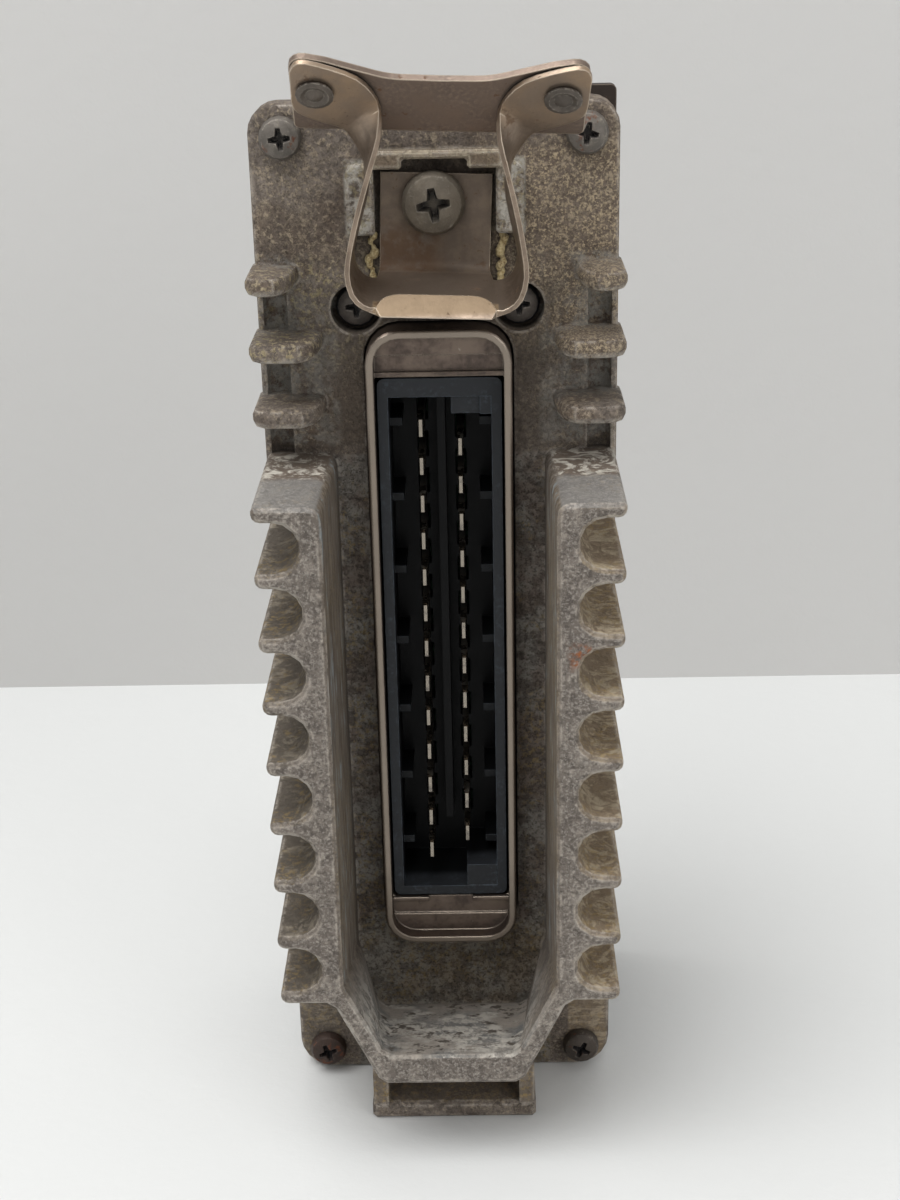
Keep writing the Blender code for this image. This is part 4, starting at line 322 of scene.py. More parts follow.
def weathered_casting(look):
    """Die-cast aluminium alloy, long in salt and dirt: dull grey-brown oxide, so it shines little; white and
    ochre crusts stand up from it, painted shade darkens its corners, its edges are rubbed to bare metal."""
    material, add = new_finish("weathered_die_cast_aluminium")
    place = object_place(add)
    loose = ragged(add, place, 3, 3)
    edges, soft = worn_edges(add, 0.6, 0.96)
    # Openness of the air round a point: painted shade in the corners and the lugs' hollows is drawn from it
    hollow = add("ShaderNodeAmbientOcclusion", {"Distance": 5 * MM}, "AO", samples=LOOKUP_SAMPLES)
    corners = ramp(add, hollow, 0.8, 0.2)
    level = facing(add, "Z", 0.4, 0.8)
    grain = look.grain / MM

    # Where things are
    shroud = zone(add, place, 0.3, z=(None, SHROUD_TOP - 0.4))
    inside = inverse(add, off_middle(add, place, CHANNEL_HALF - 0.2, CHANNEL_HALF + 0.2))
    outside = off_middle(add, place, FIN_ROOT - 0.2, FIN_ROOT + 0.2)
    front = where_all(add, shroud, facing(add, "Y", -0.5, -0.9), zone(add, place, y=(None, SHROUD_FRONT + 1.5)))
    plate = zone(add, place, 0.2, y=(PLATE_FRONT - 0.4, None))
    channel = where_all(add, shroud, inside, plate)
    wall = where_all(add, shroud, off_middle(add, place, CHANNEL_HALF - 0.8, CHANNEL_HALF - 0.6),
                     inverse(add, off_middle(add, place, CHANNEL_HALF + 0.3, CHANNEL_HALF + 0.8)),
                     zone(add, place, y=(SHROUD_FRONT + 0.3, PLATE_FRONT - 0.4), z=(24, None)))
    trough = where_all(add, zone(add, place, y=(None, PLATE_FRONT - 0.5), z=TROUGH_REACH),
                       facing(add, "Z", 0.15, 0.5),
                       inverse(add, off_middle(add, place, CHANNEL_HALF - 0.3, CHANNEL_HALF + 0.1)))
    scallops = where_all(add, shroud, outside, inverse(add, front), zone(add, place, y=(None, PLATE_FRONT)))
    block = where_all(add, level, zone(add, place, 0.3, y=(None, PLATE_FRONT), z=(SHROUD_TOP - 1, SHROUD_TOP + 1)))
    block_back = zone(add, loose, 1.0, y=(PLATE_FRONT - 11, None))
    lugs = where_all(add, zone(add, place, z=(SHROUD_TOP + 1, LUGS_TOP)),
                     off_middle(add, place, LUG_ROOT - 0.5, LUG_ROOT + 0.5))
    foot = where_all(add, zone(add, place, 0.3, z=FOOT_REACH, y=(PLATE_FRONT - 13, None)),
                     inverse(add, off_middle(add, place, FOOT_HALF - 0.2, FOOT_HALF + 0.2)))
    slot = where_all(add, foot, zone(add, place, y=(PLATE_FRONT - 11, None)))
    low = zone(add, place, z=(None, LOW_END))
    upper = zone(add, place, z=(SHROUD_TOP, None))
    right = zone(add, loose, 1.5, x=(5, None))
    left = inverse(add, zone(add, loose, 1.5, x=(-6, None)))
    upper_right = where_all(add, upper, right, zone(add, loose, 2, z=(106, 131)))
    lower_left = where_all(add, upper, left, zone(add, loose, 2, z=(104, 117)))

    # What lies on the skin
    clouds = patches(add, place, 8, 0.40, 0.62, 4, 0.65)
    brown = patches(add, loose, 13, 0.45, 0.6, 3, 0.6)
    pits = patches(add, place, grain * 1.8, 0.50, 0.62, 5, 0.8)
    grains = patches(add, place, grain, 0.50, 0.60, 3, 0.75)
    mottle = patches(add, place, 2.2, 0.44, 0.58, 4, 0.75)
    grain_fields = patches(add, place, 6, 0.40, 0.60, 4, 0.7)
    crust = patches(add, place, 0.8, 0.50, 0.60, 4, 0.75)
    crust_fields = patches(add, place, 9, 0.42, 0.55, 3, 0.6)
    flakes = patches(add, place, 2.4, 0.42, 0.56, 5, 0.78)
    down_streaks = patches(add, place, 0.9, 0.44, 0.60, 3, 0.65, (1.5, 1.2, 0.13))
    salt_streaks = patches(add, place, 1.6, 0.54, 0.66, 4, 0.7, (1.2, 1, 0.2))
    swirls = patches(add, place, 2.6, 0.47, 0.60, 4, 0.7, (0.7, 0.8, 2.6), 1.6)
    slots = where_all(add, swirls, grain_fields)
    wide = patches(add, place, 22, 0.40, 0.60, 3, 0.55)
    rails = where_all(add, zone(add, place, 0.3, y=(None, PLATE_FRONT + 1.2), z=(CLAMP_Z - 4, CLAMP_Z + 5.2)),
                      off_middle(add, place, 6.9, 7.2), inverse(add, off_middle(add, place, 10.6, 11)))
    ridge = where_all(add, zone(add, place, 0.2, y=(None, PLATE_FRONT - 0.1), z=(RIDGE_TOP - 3, RIDGE_TOP + 0.2)),
                      inverse(add, off_middle(add, place, 8.5, 8.7)))
    rust_spot = where_all(add, front, zone(add, loose, 0.7, x=(15.0, 17.6), z=(72.5, 75.5)))
    layers = [
        # The skin all over
        (where_all(add, clouds, 0.6), look.dark_oxide, 0.72, 0.25),
        (where_all(add, brown, upper, 0.75), look.brown, 0.8, 0.1),
        (where_all(add, mottle, 0.45), shaded(look.dark_oxide, 0.7), 0.85, 0.1),
        (where_all(add, crust, inverse(add, mottle), 0.45), look.tan, 0.85, 0.1),
        (where_all(add, pits, 0.5), shaded(look.dark_oxide, 0.5), 0.85, 0.1),
        (where_all(add, grains, grain_fields, 0.5), look.tan, 0.85, 0.1),
        # Front faces of the shroud
        (where_all(add, front, 0.8), hex_colour("#797169"), 0.55, 0.3),
        (where_all(add, front, clouds, 0.5), hex_colour("#665d56"), 0.62, 0.3),
        (where_all(add, front, mottle, 0.5), hex_colour("#5b534c"), 0.75, 0.2),
        (where_all(add, front, crust, inverse(add, mottle), 0.4), hex_colour("#a59d92"), 0.8, 0.1),
        (where_all(add, front, pits, 0.65), hex_colour("#4e4640"), 0.75, 0.2),
        (where_all(add, front, grains, 0.5), hex_colour("#b0a9a0"), 0.8, 0.1),
        # Scallops between the fins
        (where_all(add, scallops, inverse(add, right), 0.9), hex_colour("#5f574d"), 0.8, 0.1),
        (where_all(add, scallops, right, 0.9), hex_colour("#897862"), 0.85, 0.05),
        (where_all(add, scallops, slots, inverse(add, right), 0.55), hex_colour("#a99e8b"), 0.9, 0),
        (where_all(add, scallops, swirls, right, 0.7), hex_colour("#bcae95"), 0.92, 0),
        (where_all(add, scallops, crust, crust_fields, 0.5), look.ochre, 0.92, 0),
        # Tops of the shroud's two blocks
        (block, hex_colour("#8d8984"), 0.5, 0.4),
        (where_all(add, block, mottle, 0.5), hex_colour("#6e6a67"), 0.7, 0.2),
        (where_all(add, block, grains, 0.5), hex_colour("#aeaaa4"), 0.7, 0.2),
        (where_all(add, block, block_back, 0.85), look.brown, 0.85, 0.05),
        (where_all(add, block, block_back, swirls), look.salt, 0.9, 0),
        # Walls of the channel
        (wall, hex_colour("#7a7065"), 0.8, 0.15),
        (where_all(add, wall, down_streaks, 0.8), hex_colour("#51463a"), 0.85, 0.05),
        (where_all(add, wall, salt_streaks), look.blue_salt, 0.88, 0),
        (where_all(add, wall, grains, wide, 0.6), hex_colour("#98845c"), 0.9, 0),
        # Plate above the shroud
        (where_all(add, upper_right, crust, wide, 0.8), hex_colour("#ab9c84"), 0.92, 0),
        (where_all(add, upper_right, 0.5), look.brown, 0.85, 0.05),
        (where_all(add, upper_right, grains, 0.7), hex_colour("#bba98b"), 0.92, 0),
        (where_all(add, lower_left, crust, 0.65), hex_colour("#a1946c"), 0.92, 0),
        (where_all(add, crust, crust_fields, upper, 0.5), look.tan, 0.92, 0),
        # Painted shade in the corners, and the plate darker round the socket's top
        (where_all(add, corners, inverse(add, where_any(add, lugs, low)), 0.85), look.grime_and_shade, 0.9, 0),
        (where_all(add, plate, zone(add, loose, 1.5, z=(SHROUD_TOP, 114)),
                   inverse(add, off_middle(add, loose, 12, 17)), 0.6), hex_colour("#4c433a"), 0.85, 0.05),
        # Floor of the channel
        (where_all(add, channel, 0.95), hex_colour("#6a5f56"), 0.8, 0.1),
        (where_all(add, channel, zone(add, loose, 2, z=(None, 24)), 0.7), hex_colour("#857a69"), 0.85, 0.05),
        (where_all(add, channel, grain_fields, 0.7), hex_colour("#85827b"), 0.75, 0.15),
        (where_all(add, channel, mottle, 0.55), hex_colour("#362e27"), 0.9, 0),
        (where_all(add, channel, pits, 0.7), shaded(look.grime_and_shade, 0.9), 0.9, 0),
        (where_all(add, channel, crust, crust_fields, 0.5), hex_colour("#86724a"), 0.9, 0),
        # Lugs, trough, rails and ridge
        # Painted shade in the lugs' hollows
        (where_all(add, lugs, ramp(add, hollow, 0.75, 0.35), 0.6), hex_colour("#4d4037"), 0.9, 0),
        (where_all(add, lugs, ramp(add, hollow, 0.95, 0.6), flakes, 0.6), hex_colour("#95958f"), 0.9, 0),
        (where_all(add, trough, 0.9), hex_colour("#9a9288"), 0.9, 0),
        (where_all(add, trough, clouds, 0.9), hex_colour("#6b6c6b"), 0.9, 0),
        (where_all(add, trough, flakes, crust_fields), hex_colour("#bdb7ad"), 0.92, 0),
        (where_all(add, trough, patches(add, place, 2.6, 0.54, 0.64, 3, 0.75)), hex_colour("#554d45"), 0.9, 0),
        (where_all(add, rails, flakes, 0.85), hex_colour("#b3aea4"), 0.9, 0),
        (where_all(add, rails, crust, 0.5), hex_colour("#8f8462"), 0.9, 0),
        (where_all(add, ridge, 0.6), hex_colour("#7d6c57"), 0.85, 0.05),
        # Painted highlight, partly salt: a pale cream line along the ridge's edges
        (where_all(add, ridge, edges, 0.9), hex_colour("#c9bda6"), 0.85, 0),
        # Foot and its slot
        (where_all(add, foot, 0.7), hex_colour("#7b6f60"), 0.88, 0),
        (where_all(add, slot, facing(add, "Y", -0.2, -0.6)), hex_colour("#c5b497"), 0.88, 0),
        (where_all(add, foot, crust, 0.6), look.ochre, 0.92, 0),
        # Rust spot, salt under the fins' rims and rubbed edges
        (where_all(add, rust_spot, flakes), hex_colour("#96562a"), 0.9, 0),
        (where_all(add, off_middle(add, place, LUG_ROOT - 0.5, LUG_ROOT + 0.5), facing(add, "Z", -0.1, -0.45),
                   flakes, 0.75), hex_colour("#b4ada3"), 0.8, 0.1),
        (where_all(add, edges, inverse(add, corners), inverse(add, mottle), 0.8), look.edge, 0.5, 0.4),
    ]
    relief = [(mottle, -0.05), (pits, -0.05), (grains, 0.03), (where_all(add, crust, crust_fields, upper), 0.08),
              (where_all(add, flakes, where_any(add, trough, rails)), 0.06)]
    return lay_up(material, add, (look.oxide, 0.62, 0.4), layers, relief, soft)


def passivated_spring(look):
    """Spring steel with an old yellow passivation: a warm satin metal that mirrors softly, bright where its
    edges rub, dull dark brown on the tongue behind the loop, and painted shade in its hollows."""
    material, add = new_finish("passivated_spring_steel")
    place = object_place(add)
    loose = ragged(add, place, 4, 3)
    edges, soft = worn_edges(add, 0.2)
    tongue = where_all(add, zone(add, place, 0.3, y=(PLATE_FRONT - 0.9, None)),
                       inverse(add, off_middle(add, place, 6.9, 7.3)))
    low_left = where_all(add, tongue, zone(add, loose, 1.5, x=(None, 0), z=(None, CLAMP_Z - 3)))
    lip = where_all(add, zone(add, place, 0.3, y=(None, PLATE_FRONT - 9.3), z=(CLAMP_Z - 11.0, CLAMP_Z - 6.5)),
                    inverse(add, off_middle(add, place, 7.2, 7.5)))
    shelf = where_all(add, zone(add, place, 0.4, y=(PLATE_FRONT - 10.5, PLATE_FRONT - 1), z=(None, CLAMP_Z - 8)),
                      inverse(add, off_middle(add, place, 7.5, 8.5)))
    ears = zone(add, loose, 2, z=(CLAMP_Z + 11, None))
    clouds = patches(add, place, 5, 0.38, 0.62, 5, 0.6)
    drawn = patches(add, place, 0.35, 0.35, 0.65, 3, 0.6, (1, 1, 0.08))
    mottle = patches(add, place, 1.6, 0.42, 0.62, 6, 0.7)
    spots = patches(add, place, 0.8, 0.64, 0.70, 5, 0.7)
    layers = [
        (where_all(add, clouds, inverse(add, ears)), shaded(look.dull, 1.35), 0.45, 0.8),
        (where_all(add, mottle, inverse(add, ears), 0.6), shaded(look.dull, 1.1), 0.5, 0.7),
        (where_all(add, drawn, clouds, 0.6), shaded(look.steel, 0.8), 0.38, 0.9),
        (where_all(add, ears, clouds, 0.8), look.tan, 0.42, 0.85),
        (tongue, look.dull, 0.6, 0.35),
        (where_all(add, tongue, mottle, 0.7), hex_colour("#7b6c5c"), 0.65, 0.3),
        (where_all(add, low_left, patches(add, place, 2.4, 0.34, 0.58, 5, 0.7), 0.8), look.rust, 0.75, 0.2),
        (where_all(add, shelf, 0.7), hex_colour("#8d7f72"), 0.42, 0.8),
        (lip, hex_colour("#8d785e"), 0.5, 0.3),
        (where_all(add, lip, mottle, 0.5), hex_colour("#7d6950"), 0.5, 0.3),
        (where_all(add, patches(add, place, 3.0, 0.60, 0.68, 6, 0.7), 0.8), look.rust, 0.7, 0.3),
        (where_all(add, spots, 0.8), look.rust, 0.7, 0.2),
        # Painted shade in the spring's hollows
        (where_all(add, shade_in_hollows(add, 1.6, 0.2, 0.7), 0.8), hex_colour("#332a24"), 0.8, 0.1),
        (edges, look.bright, 0.28, 0.95),
    ]
    return lay_up(material, add, (look.steel, 0.38, 0.85), layers, [(drawn, 0.006), (spots, -0.02)], soft)


def browned_steel(name, colour, bright, shine):
    """Sheet steel gone brown under thin oil and dirt: a dull sheen with soft clouds, rubbed edges and painted shade
    in its hollows.
    """
    material, add = new_finish(name)
    place = object_place(add)
    edges, soft = worn_edges(add, 0.25)
    clouds = patches(add, place, 4, 0.38, 0.62, 6, 0.65)
    grain = patches(add, place, 0.5, 0.35, 0.7, 4, 0.6)
    layers = [
        (clouds, shaded(colour, 0.7), shine + 0.12, 0.6),
        (where_all(add, grain, clouds), shaded(colour, 1.2), shine, 0.8),
        (patches(add, place, 1.4, 0.62, 0.70, 5, 0.7), hex_colour("#5d4029"), 0.8, 0.1),
        # Painted shade in the steel's hollows
        (shade_in_hollows(add, 2.0, 0.2, 0.7), hex_colour("#2a231e"), 0.85, 0.1),
        (edges, bright, shine - 0.06, 0.9),
    ]
    return lay_up(material, add, (colour, shine, 0.8), layers, [(grain, 0.012)], soft)


def worn_nickel(look):
    """Nickel-plated drawn steel, tarnished brown: smooth and softly mirroring, bright along its rolled rim, with
    painted shade in its hollows.
    """
    material, add = new_finish("tarnished_nickel_collar")
    place = object_place(add)
    edges, soft = worn_edges(add, 0.3, 0.9)
    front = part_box("socket_collar")[0].y / MM
    rim = zone(add, place, 0.05, y=(None, front + 0.12))
    clouds = patches(add, place, 6, 0.4, 0.62, 5, 0.6)
    fine = patches(add, place, 0.7, 0.4, 0.65, 4, 0.6)
    layers = [
        (clouds, hex_colour("#5f534c"), 0.42, 0.85),
        (where_all(add, fine, clouds), hex_colour("#4f453f"), 0.5, 0.7),
        # Painted shade in the collar's hollows
        (shade_in_hollows(add, 2.2, 0.15, 0.6), hex_colour("#2d2622"), 0.7, 0.3),
        (where_all(add, rim, 0.8), look.nickel_bright, 0.34, 0.8),
        (edges, look.nickel_bright, 0.26, 0.95),
        (patches(add, place, 1.1, 0.66, 0.70, 5, 0.7), hex_colour("#8b8276"), 0.8, 0.1),
    ]
    return lay_up(material, add, (look.nickel, 0.36, 0.9), layers, [(fine, 0.006)], soft)


def moulded_plastic(look):
    """Glass-filled moulded plastic, black: a satin skin, with dust in its corners, grey scuffed edges and painted
    shade that makes it far darker inside the socket.
    """
    material, add = new_finish("black_moulded_plastic")
    place = object_place(add)
    edges, soft = worn_edges(add, 0.16, 0.9)
    grain = patches(add, place, 0.3, 0.4, 0.7, 3, 0.6)
    dust = where_all(add, patches(add, place, 2.4, 0.45, 0.7, 6, 0.7), patches(add, place, 0.5, 0.45, 0.65, 4, 0.6))
    front = zone(add, place, 1.0, y=(None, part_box("socket_housing")[0].y / MM + 3.5))
    scuffs = where_all(add, edges, front, patches(add, place, 1.2, 0.38, 0.55, 5, 0.7))
    layers = [
        # Painted shade: the plastic behind the socket's front is drawn far darker
        (inverse(add, front), shaded(look.plastic, 0.15), 0.5, 0),
        (where_all(add, dust, front), hex_colour("#3f444a"), 0.62, 0),
        (scuffs, look.scuff, 0.55, 0),
    ]
    return lay_up(material, add, (look.plastic, 0.42, 0), layers, [(grain, 0.006)], soft, 0.2)


def tinned_blade(look):
    """Tinned brass: soft bright metal with faint draw lines along the blade, a little dulling, and painted shade
    that darkens the blades inside the socket.
    """
    material, add = new_finish("tinned_brass_contact")
    place = object_place(add)
    lines = patches(add, place, 0.22, 0.3, 0.7, 3, 0.6, (1, 0.08, 1))
    dull = patches(add, place, 1.6, 0.5, 0.7, 4, 0.6)
    deep_shade = zone(add, place, 2.0, y=(PLATE_FRONT + 3.5, None))
    layers = [
        (dull, hex_colour("#77726b"), 0.4, 0.9),
        # Painted shade: the blades darker past the plate's front, inside the socket
        (deep_shade, hex_colour("#4c4a47"), 0.45, 0.9),
    ]
    return lay_up(material, add, (look.tin, 0.24, 1.0), layers, [(lines, 0.004)])


def dull_screw(look, name, steel, rust_share, dust_share, rubbed=1.0):
    """Zinc-plated screw steel, weathered: rough and dull, with salt dust, painted shade in its cross, rust and
    rubbed rims."""
    material, add = new_finish(name)
    place = object_place(add)
    edges, soft = worn_edges(add, 0.25)
    clouds = patches(add, place, 2.2, 0.4, 0.62, 6, 0.7)
    fine = patches(add, place, 0.45, 0.4, 0.65, 4, 0.7)
    rust = patches(add, place, 1.8, 0.72 - rust_share / 2, 0.80 - rust_share / 2, 6, 0.7)
    dust = where_all(add, patches(add, place, 1.5, 0.62 - dust_share / 3, 0.75 - dust_share / 3, 6, 0.7), fine)
    layers = [
        (clouds, shaded(steel, 0.7), 0.62, 0.4),
        (rust, look.screw_rust, 0.85, 0),
        (dust, look.dust, 0.9, 0),
        # Painted shade in the cross and round the head
        (shade_in_hollows(add, 1.5, 0.25, 0.8), hex_colour("#17161a"), 0.8, 0.1),
        (where_all(add, edges, fine, rubbed), hex_colour("#a8a197"), 0.42, 0.8),
    ]
    return lay_up(material, add, (steel, 0.5, 0.55), layers, [(fine, 0.02), (dust, 0.03)], soft)


def dusty_paint(look):
    """Dark baked paint over pressed metal: fine orange peel, dull with dust and grey where it has rubbed."""
    material, add = new_finish("dusty_dark_paint")
    place = object_place(add)
    edges, soft = worn_edges(add, 0.6)
    peel = patches(add, place, 0.8, 0.3, 0.7, 2, 0.5)
    dust = where_all(add, patches(add, place, 9, 0.4, 0.7, 6, 0.65), patches(add, place, 0.8, 0.4, 0.7, 5, 0.7))
    layers = [
        (patches(add, place, 6, 0.45, 0.6, 6, 0.7), shaded(look.paint, 1.5), 0.66, 0),
        (dust, look.dust, 0.85, 0),
        (where_all(add, edges, patches(add, place, 2, 0.45, 0.6, 5, 0.7)), hex_colour("#7f776d"), 0.5, 0.6),
    ]
    return lay_up(material, add, (look.paint, 0.55, 0), layers, [(peel, 0.015), (dust, 0.01)], soft)


def plain_finish(name, colour, roughness, metallic, grain, relief):
    """Finish of a piece inside the case: its real stuff's colour, slightly clouded, with a fine relief."""
    material, add = new_finish(name)
    place = object_place(add)
    fine = patches(add, place, grain, 0.35, 0.65, 3, 0.6)
    clouds = patches(add, place, grain * 8, 0.4, 0.65, 4, 0.6)
    layers = [(clouds, shaded(colour, 0.8), roughness + 0.08, metallic)]
    return lay_up(material, add, (colour, roughness, metallic), layers, [(fine, relief)])


def stage_paint(name, colour):
    """Plain matt wall paint: one even colour with the faint relief that a roller leaves. Its sheet is open to
    view from behind, so that the wall doesn't hide the unit's back."""
    material, add = new_finish(name)
    stipple = patches(add, object_place(add), 3, 0.35, 0.65, 3, 0.6)
    relief = add("ShaderNodeBump", {"Height": stipple, "Distance": 0.02 * MM})
    paint = add("ShaderNodeBsdfPrincipled", {"Base Color": colour, "Roughness": 0.85, "Normal": relief})
    behind = add("ShaderNodeNewGeometry", None, "Backfacing")
    surface = add("ShaderNodeMixShader", {0: behind, 1: paint, 2: add("ShaderNodeBsdfTransparent")})
    add("ShaderNodeOutputMaterial", {"Surface": surface})
    return material


def corrosion_crust(name, colour, root, tip):
    """Brittle corrosion salts mixed with clay: chalky and matt, with brown roots and pale tips."""
    material, add = new_finish(name)
    place = object_place(add)
    grain = patches(add, place, 0.3, 0.35, 0.65, 5, 0.7)
    layers = [
        (patches(add, place, 1.0, 0.42, 0.6, 5, 0.7), root, 0.95, 0),
        (grain, tip, 0.95, 0),
    ]
    return lay_up(material, add, (colour, 0.95, 0), layers, [(grain, 0.05)])


def softened_shading():
    """Node group that joins a CAD solid's loose triangles and shades its curved faces smooth, real edges sharp."""
    group = bpy.data.node_groups.new("softened_shading", "GeometryNodeTree")
    for side in ("INPUT", "OUTPUT"):
        group.interface.new_socket("Geometry", in_out=side, socket_type="NodeSocketGeometry")
    angle = group.nodes.new("GeometryNodeInputMeshEdgeAngle")
    sharp = group.nodes.new("FunctionNodeCompare")
    sharp.operation = "GREATER_THAN"
    sharp.inputs[1].default_value = math.radians(EDGE_ANGLE)
    group.links.new(angle.outputs["Unsigned Angle"], sharp.inputs[0])
    flow = group.nodes.new("NodeGroupInput").outputs[0]
    for kind, inputs in (
            ("GeometryNodeRemoveAttribute", {"Name": "custom_normal"}),
            ("GeometryNodeMergeByDistance", {"Distance": 0.001 * MM}),
            ("GeometryNodeSetShadeSmooth", {"Shade Smooth": True}),
            ("GeometryNodeSetShadeSmooth", {"Shade Smooth": False, "Selection": sharp.outputs[0]}),
            ("NodeGroupOutput", {})):
        node = group.nodes.new(kind)
        for key, value in inputs.items():
            if isinstance(value, bpy.types.NodeSocket):
                node.domain = "EDGE"
                group.links.new(value, node.inputs[key])
            else:
                node.inputs[key].default_value = value
        group.links.new(flow, node.inputs[0])
        flow = node.outputs[0] if node.outputs else None
    return group


def crumbled(name, lumps, material):
    """Crust of lumps that have grown together: squashed balls fused, roughened and thinned into one piece.

    A lump is its place, the radii along x, y and z, and its turn about y, in mm and degrees.
    """
    bpy.ops.object.select_all(action="DESELECT")
    balls = []
    for centre, radii, turn in lumps:
        bpy.ops.mesh.primitive_ico_sphere_add(subdivisions=3, radius=MM, location=[part * MM for part in centre])
        bpy.ops.object.mode_set(mode="EDIT")
        bpy.ops.transform.resize(value=radii, center_override=[part * MM for part in centre])
        bpy.ops.transform.rotate(value=math.radians(turn), orient_axis="Y",
                                 center_override=[part * MM for part in centre])
        bpy.ops.object.mode_set(mode="OBJECT")
        balls.append(bpy.context.active_object)
    for ball in balls:
        ball.select_set(True)
    bpy.ops.object.join()
    piece = bpy.context.active_object
    piece.name = piece.data.name = name
    bpy.ops.object.transform_apply(location=True, rotation=True, scale=True)
    crumbs = bpy.data.textures.new(name + "_crumbs", "CLOUDS")
    crumbs.noise_scale = CRUST_CRUMB * MM
    crumbs.noise_depth = 3
    for kind, settings in (
            ("REMESH", {"mode": "VOXEL", "voxel_size": CRUST_VOXEL * MM}),
            ("DISPLACE", {"texture": crumbs, "strength": CRUST_ROUGHNESS * MM, "texture_coords": "LOCAL"}),
            ("DECIMATE", {"ratio": CRUST_KEPT})):
        modifier = piece.modifiers.new(kind.lower(), kind)
        for key, value in settings.items():
            setattr(modifier, key, value)
        bpy.ops.object.modifier_apply(modifier=modifier.name)
    bpy.ops.object.shade_smooth()
    piece.data.materials.clear()
    piece.data.materials.append(material)
    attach(piece, "root")


def dress(names, material):
    """Gives CAD nodes a finish."""
    for name in names:
        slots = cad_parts[name].data.materials
        slots.clear()
        slots.append(material)


class UNIT_OT_casting(bpy.types.Operator):
    """Finishes the front casting."""
    bl_idname = "unit.casting"
    bl_label = "Front casting"

    def execute(self, context):
        dress(["front_casting"], weathered_casting(context.scene.unit_casting))
        return {"FINISHED"}


class UNIT_OT_case(bpy.types.Operator):
    """Finishes the rear cover, the mounting plate and the seals."""
    bl_idname = "unit.case"
    bl_label = "Rear cover and mounting plate"

    def execute(self, context):
        look = context.scene.unit_case
        dress(["rear_cover"], dusty_paint(look))
        dress(["mounting_plate"], browned_steel("browned_mounting_plate", hex_colour("#3d3530"),
                                                hex_colour("#7d7268"), 0.55))
        dress(["cover_seal", "socket_seal"], plain_finish("seal_rubber", look.rubber, 0.8, 0, 0.4, 0.02))
        return {"FINISHED"}


class UNIT_OT_screws(bpy.types.Operator):
    """Finishes the screws and rivets, the lower left one with its rust and with painted shade in its darker steel.
    """
    bl_idname = "unit.screws"
    bl_label = "Screws and rivets"

    def execute(self, context):
        look = context.scene.unit_case
        for names, name, steel, rust_share, dust_share, rubbed in (
                # Lower left screw: its darker steel is partly rust and partly painted shade
                (["corner_screw_1"], "rusted_and_shaded_screw_steel", hex_colour("#42342d"), 0.4, 0.0, 0.2),
                (["corner_screw_3"], "dark_screw_steel", hex_colour("#4d453e"), 0.25, 0.1, 0.3),
                (["corner_screw_2", "corner_screw_4"] + HIDDEN_SCREWS, "dull_screw_steel", look.screw,
                 0.25, 0.3, 1.0),
                # Socket screws in a darker steel
                (SOCKET_SCREWS, "dark_socket_screw_steel", hex_colour("#57504a"), 0.2, 0.1, 0.5),
                (["latch_screw"], "worn_clamp_screw_steel", hex_colour("#756c5f"), 0.15, 0.3, 0.6),
                (RIVETS, "dished_rivet_steel", hex_colour("#5f574f"), 0.1, 0.0, 1.0)):
            dress(names, dull_screw(look, name, steel, rust_share, dust_share, rubbed))
        return {"FINISHED"}


class UNIT_OT_latch(bpy.types.Operator):
    """Finishes the latch spring and the lever plate behind its ears."""
    bl_idname = "unit.latch"
    bl_label = "Latch"

    def execute(self, context):
        look = context.scene.unit_latch
        dress(["latch_spring"], passivated_spring(look))
        dress(["latch_lever"], browned_steel("browned_lever_steel", look.lever, look.bright, 0.42))
        return {"FINISHED"}


class UNIT_OT_socket(bpy.types.Operator):
    """Finishes the collar, the plastic socket and its contacts."""
    bl_idname = "unit.socket"
    bl_label = "Socket"

    def execute(self, context):
        look = context.scene.unit_socket
        dress(["socket_collar"], worn_nickel(look))
        dress(["socket_housing"], moulded_plastic(look))
        dress(PINS, tinned_blade(look))
        return {"FINISHED"}


class UNIT_OT_board(bpy.types.Operator):
    """Finishes the circuit board and the parts on it."""
    bl_idname = "unit.board"
    bl_label = "Circuit board"

    def execute(self, context):
        look = context.scene.unit_case
        dress(["circuit_board"], plain_finish("green_lacquered_laminate", look.laminate, 0.45, 0, 0.5, 0.01))
        dress(BOARD_CHIPS, plain_finish("chip_epoxy", hex_colour("#202124"), 0.55, 0, 0.3, 0.01))
        dress(BOARD_CANS, plain_finish("drawn_aluminium_can", look.can, 0.32, 1, 0.3, 0.004))
        dress(["choke"], plain_finish("choke_ferrite", hex_colour("#2c2a2a"), 0.7, 0, 0.4, 0.02))
        return {"FINISHED"}


class UNIT_OT_soften(bpy.types.Operator):
    """Shades the curved faces of the CAD solids smooth."""
    bl_idname = "unit.soften"
    bl_label = "Smooth shading"

    def execute(self, context):
        group = softened_shading()
        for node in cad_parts.values():
            node.modifiers.new("softened_shading", "NODES").node_group = group
        return {"FINISHED"}


class UNIT_OT_crust(bpy.types.Operator):
    """Builds the yellow crusts that have grown in the pocket beside the spring's tongue, below the rails."""
    bl_idname = "unit.crust"
    bl_label = "Corrosion crusts"

    def execute(self, context):
        yellow = corrosion_crust("yellow_corrosion_crust", hex_colour("#9d8758"), hex_colour("#6d5535"),
                                 hex_colour("#c4b48c"))
        chance = random.Random(CRUST_SEED)
        for side, name, count in ((-1, "pocket_crust_left", 9), (1, "pocket_crust_right", 11)):
            lumps = []
            for index in range(count):
                height = CRUST_FOOT + CRUST_HEIGHT * index / (count - 1)
                size = chance.uniform(*CRUST_LUMP)
                beside = MIDDLE_X + side * chance.uniform(*CRUST_BESIDE)
                radii = (size * 0.8, size * chance.uniform(0.8, 1.3), size)
                lumps.append(((beside, POCKET_FLOOR - 0.1 - 0.3 * size, height), radii, chance.uniform(-40, 40)))
            crumbled(name, lumps, yellow)
        return {"FINISHED"}


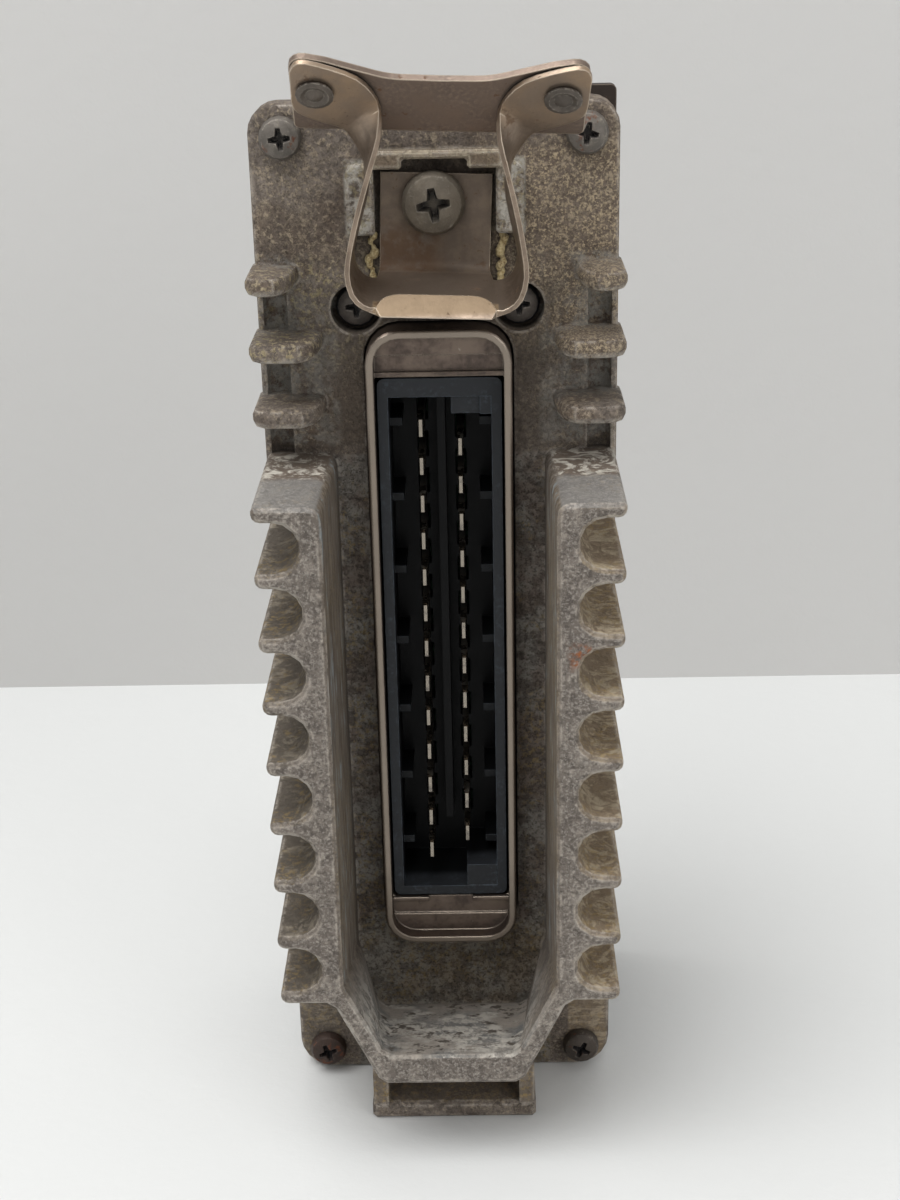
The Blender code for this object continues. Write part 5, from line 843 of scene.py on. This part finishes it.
class UNIT_OT_stage(bpy.types.Operator):
    """Makes the floor and wall, the lamps and the camera."""
    bl_idname = "unit.stage"
    bl_label = "Stage"

    def execute(self, context):
        look = context.scene.unit_stage
        for name, colour, place, turn in (
                ("stage_floor", look.floor, (0, (WALL_BEHIND - SHEET_SIZE / 2) * MM, 0), (0, 0, 0)),
                ("stage_wall", look.wall, (0, WALL_BEHIND * MM, SHEET_SIZE / 2 * MM), (math.pi / 2, 0, 0))):
            bpy.ops.object.select_all(action="DESELECT")
            bpy.ops.mesh.primitive_plane_add(size=SHEET_SIZE * MM, location=place, rotation=turn)
            sheet = context.active_object
            sheet.name = name
            bpy.ops.object.transform_apply(location=True, rotation=True, scale=True)
            sheet.data.materials.append(stage_paint(name + "_paint", colour))
        world = bpy.data.worlds.new("room")
        world.use_nodes = True
        background = world.node_tree.nodes["Background"]
        background.inputs["Color"].default_value = (1, 1, 1, 1)
        background.inputs["Strength"].default_value = look.sky
        context.scene.world = world
        for name, place, aim, size, share in LAMPS:
            data = bpy.data.lights.new(name, "AREA")
            data.size = size
            data.energy = look.lamp * share
            lamp = bpy.data.objects.new(name, data)
            lamp.location = place
            lamp.rotation_euler = (Vector(aim) - Vector(place)).to_track_quat("-Z", "Y").to_euler()
            context.scene.collection.objects.link(lamp)
        data = bpy.data.cameras.new("camera")
        data.sensor_width = CAMERA_SENSOR
        data.lens = CAMERA_LENS
        data.clip_start = CAMERA_NEAR * MM
        camera = bpy.data.objects.new("camera", data)
        camera.matrix_world = (
            Matrix.Translation([size * MM for size in CAMERA_PLACE])
            @ Matrix.Rotation(math.radians(CAMERA_YAW), 4, "Z")
            @ Matrix.Rotation(math.radians(90 - CAMERA_TILT), 4, "X")
            @ Matrix.Rotation(math.radians(CAMERA_ROLL), 4, "Z"))
        context.scene.collection.objects.link(camera)
        context.scene.camera = camera
        context.scene.view_settings.view_transform = "Standard"
        return {"FINISHED"}


STEPS = (UNIT_OT_casting, UNIT_OT_case, UNIT_OT_screws, UNIT_OT_latch, UNIT_OT_socket, UNIT_OT_board,
         UNIT_OT_soften, UNIT_OT_crust, UNIT_OT_stage)
SETTINGS = {
    "unit_casting": CastingSettings,
    "unit_latch": LatchSettings,
    "unit_socket": SocketSettings,
    "unit_case": CaseSettings,
    "unit_stage": StageSettings,
}


class UNIT_PT_panel(bpy.types.Panel):
    """Lists the settings and the steps of the engine control unit."""
    bl_idname = "UNIT_PT_panel"
    bl_label = "Engine control unit"
    bl_space_type = "VIEW_3D"
    bl_region_type = "UI"
    bl_category = "Control unit"

    def draw(self, context):
        for name, group in SETTINGS.items():
            column = self.layout.column(align=True)
            for setting in group.__annotations__:
                column.prop(getattr(context.scene, name), setting)
        for step in STEPS:
            self.layout.operator(step.bl_idname)


def register():
    """Registers the settings, the steps and the panel."""
    for name, group in SETTINGS.items():
        bpy.utils.register_class(group)
        setattr(bpy.types.Scene, name, bpy.props.PointerProperty(type=group))
    for item in (*STEPS, UNIT_PT_panel):
        bpy.utils.register_class(item)


def unregister():
    """Takes back what register added."""
    for item in (UNIT_PT_panel, *reversed(STEPS)):
        bpy.utils.unregister_class(item)
    for name, group in reversed(SETTINGS.items()):
        delattr(bpy.types.Scene, name)
        bpy.utils.unregister_class(group)


def main():
    """Runs each step in order."""
    register()
    for step in STEPS:
        group, name = step.bl_idname.split(".")
        getattr(getattr(bpy.ops, group), name)()


if __name__ == "__main__":
    main()
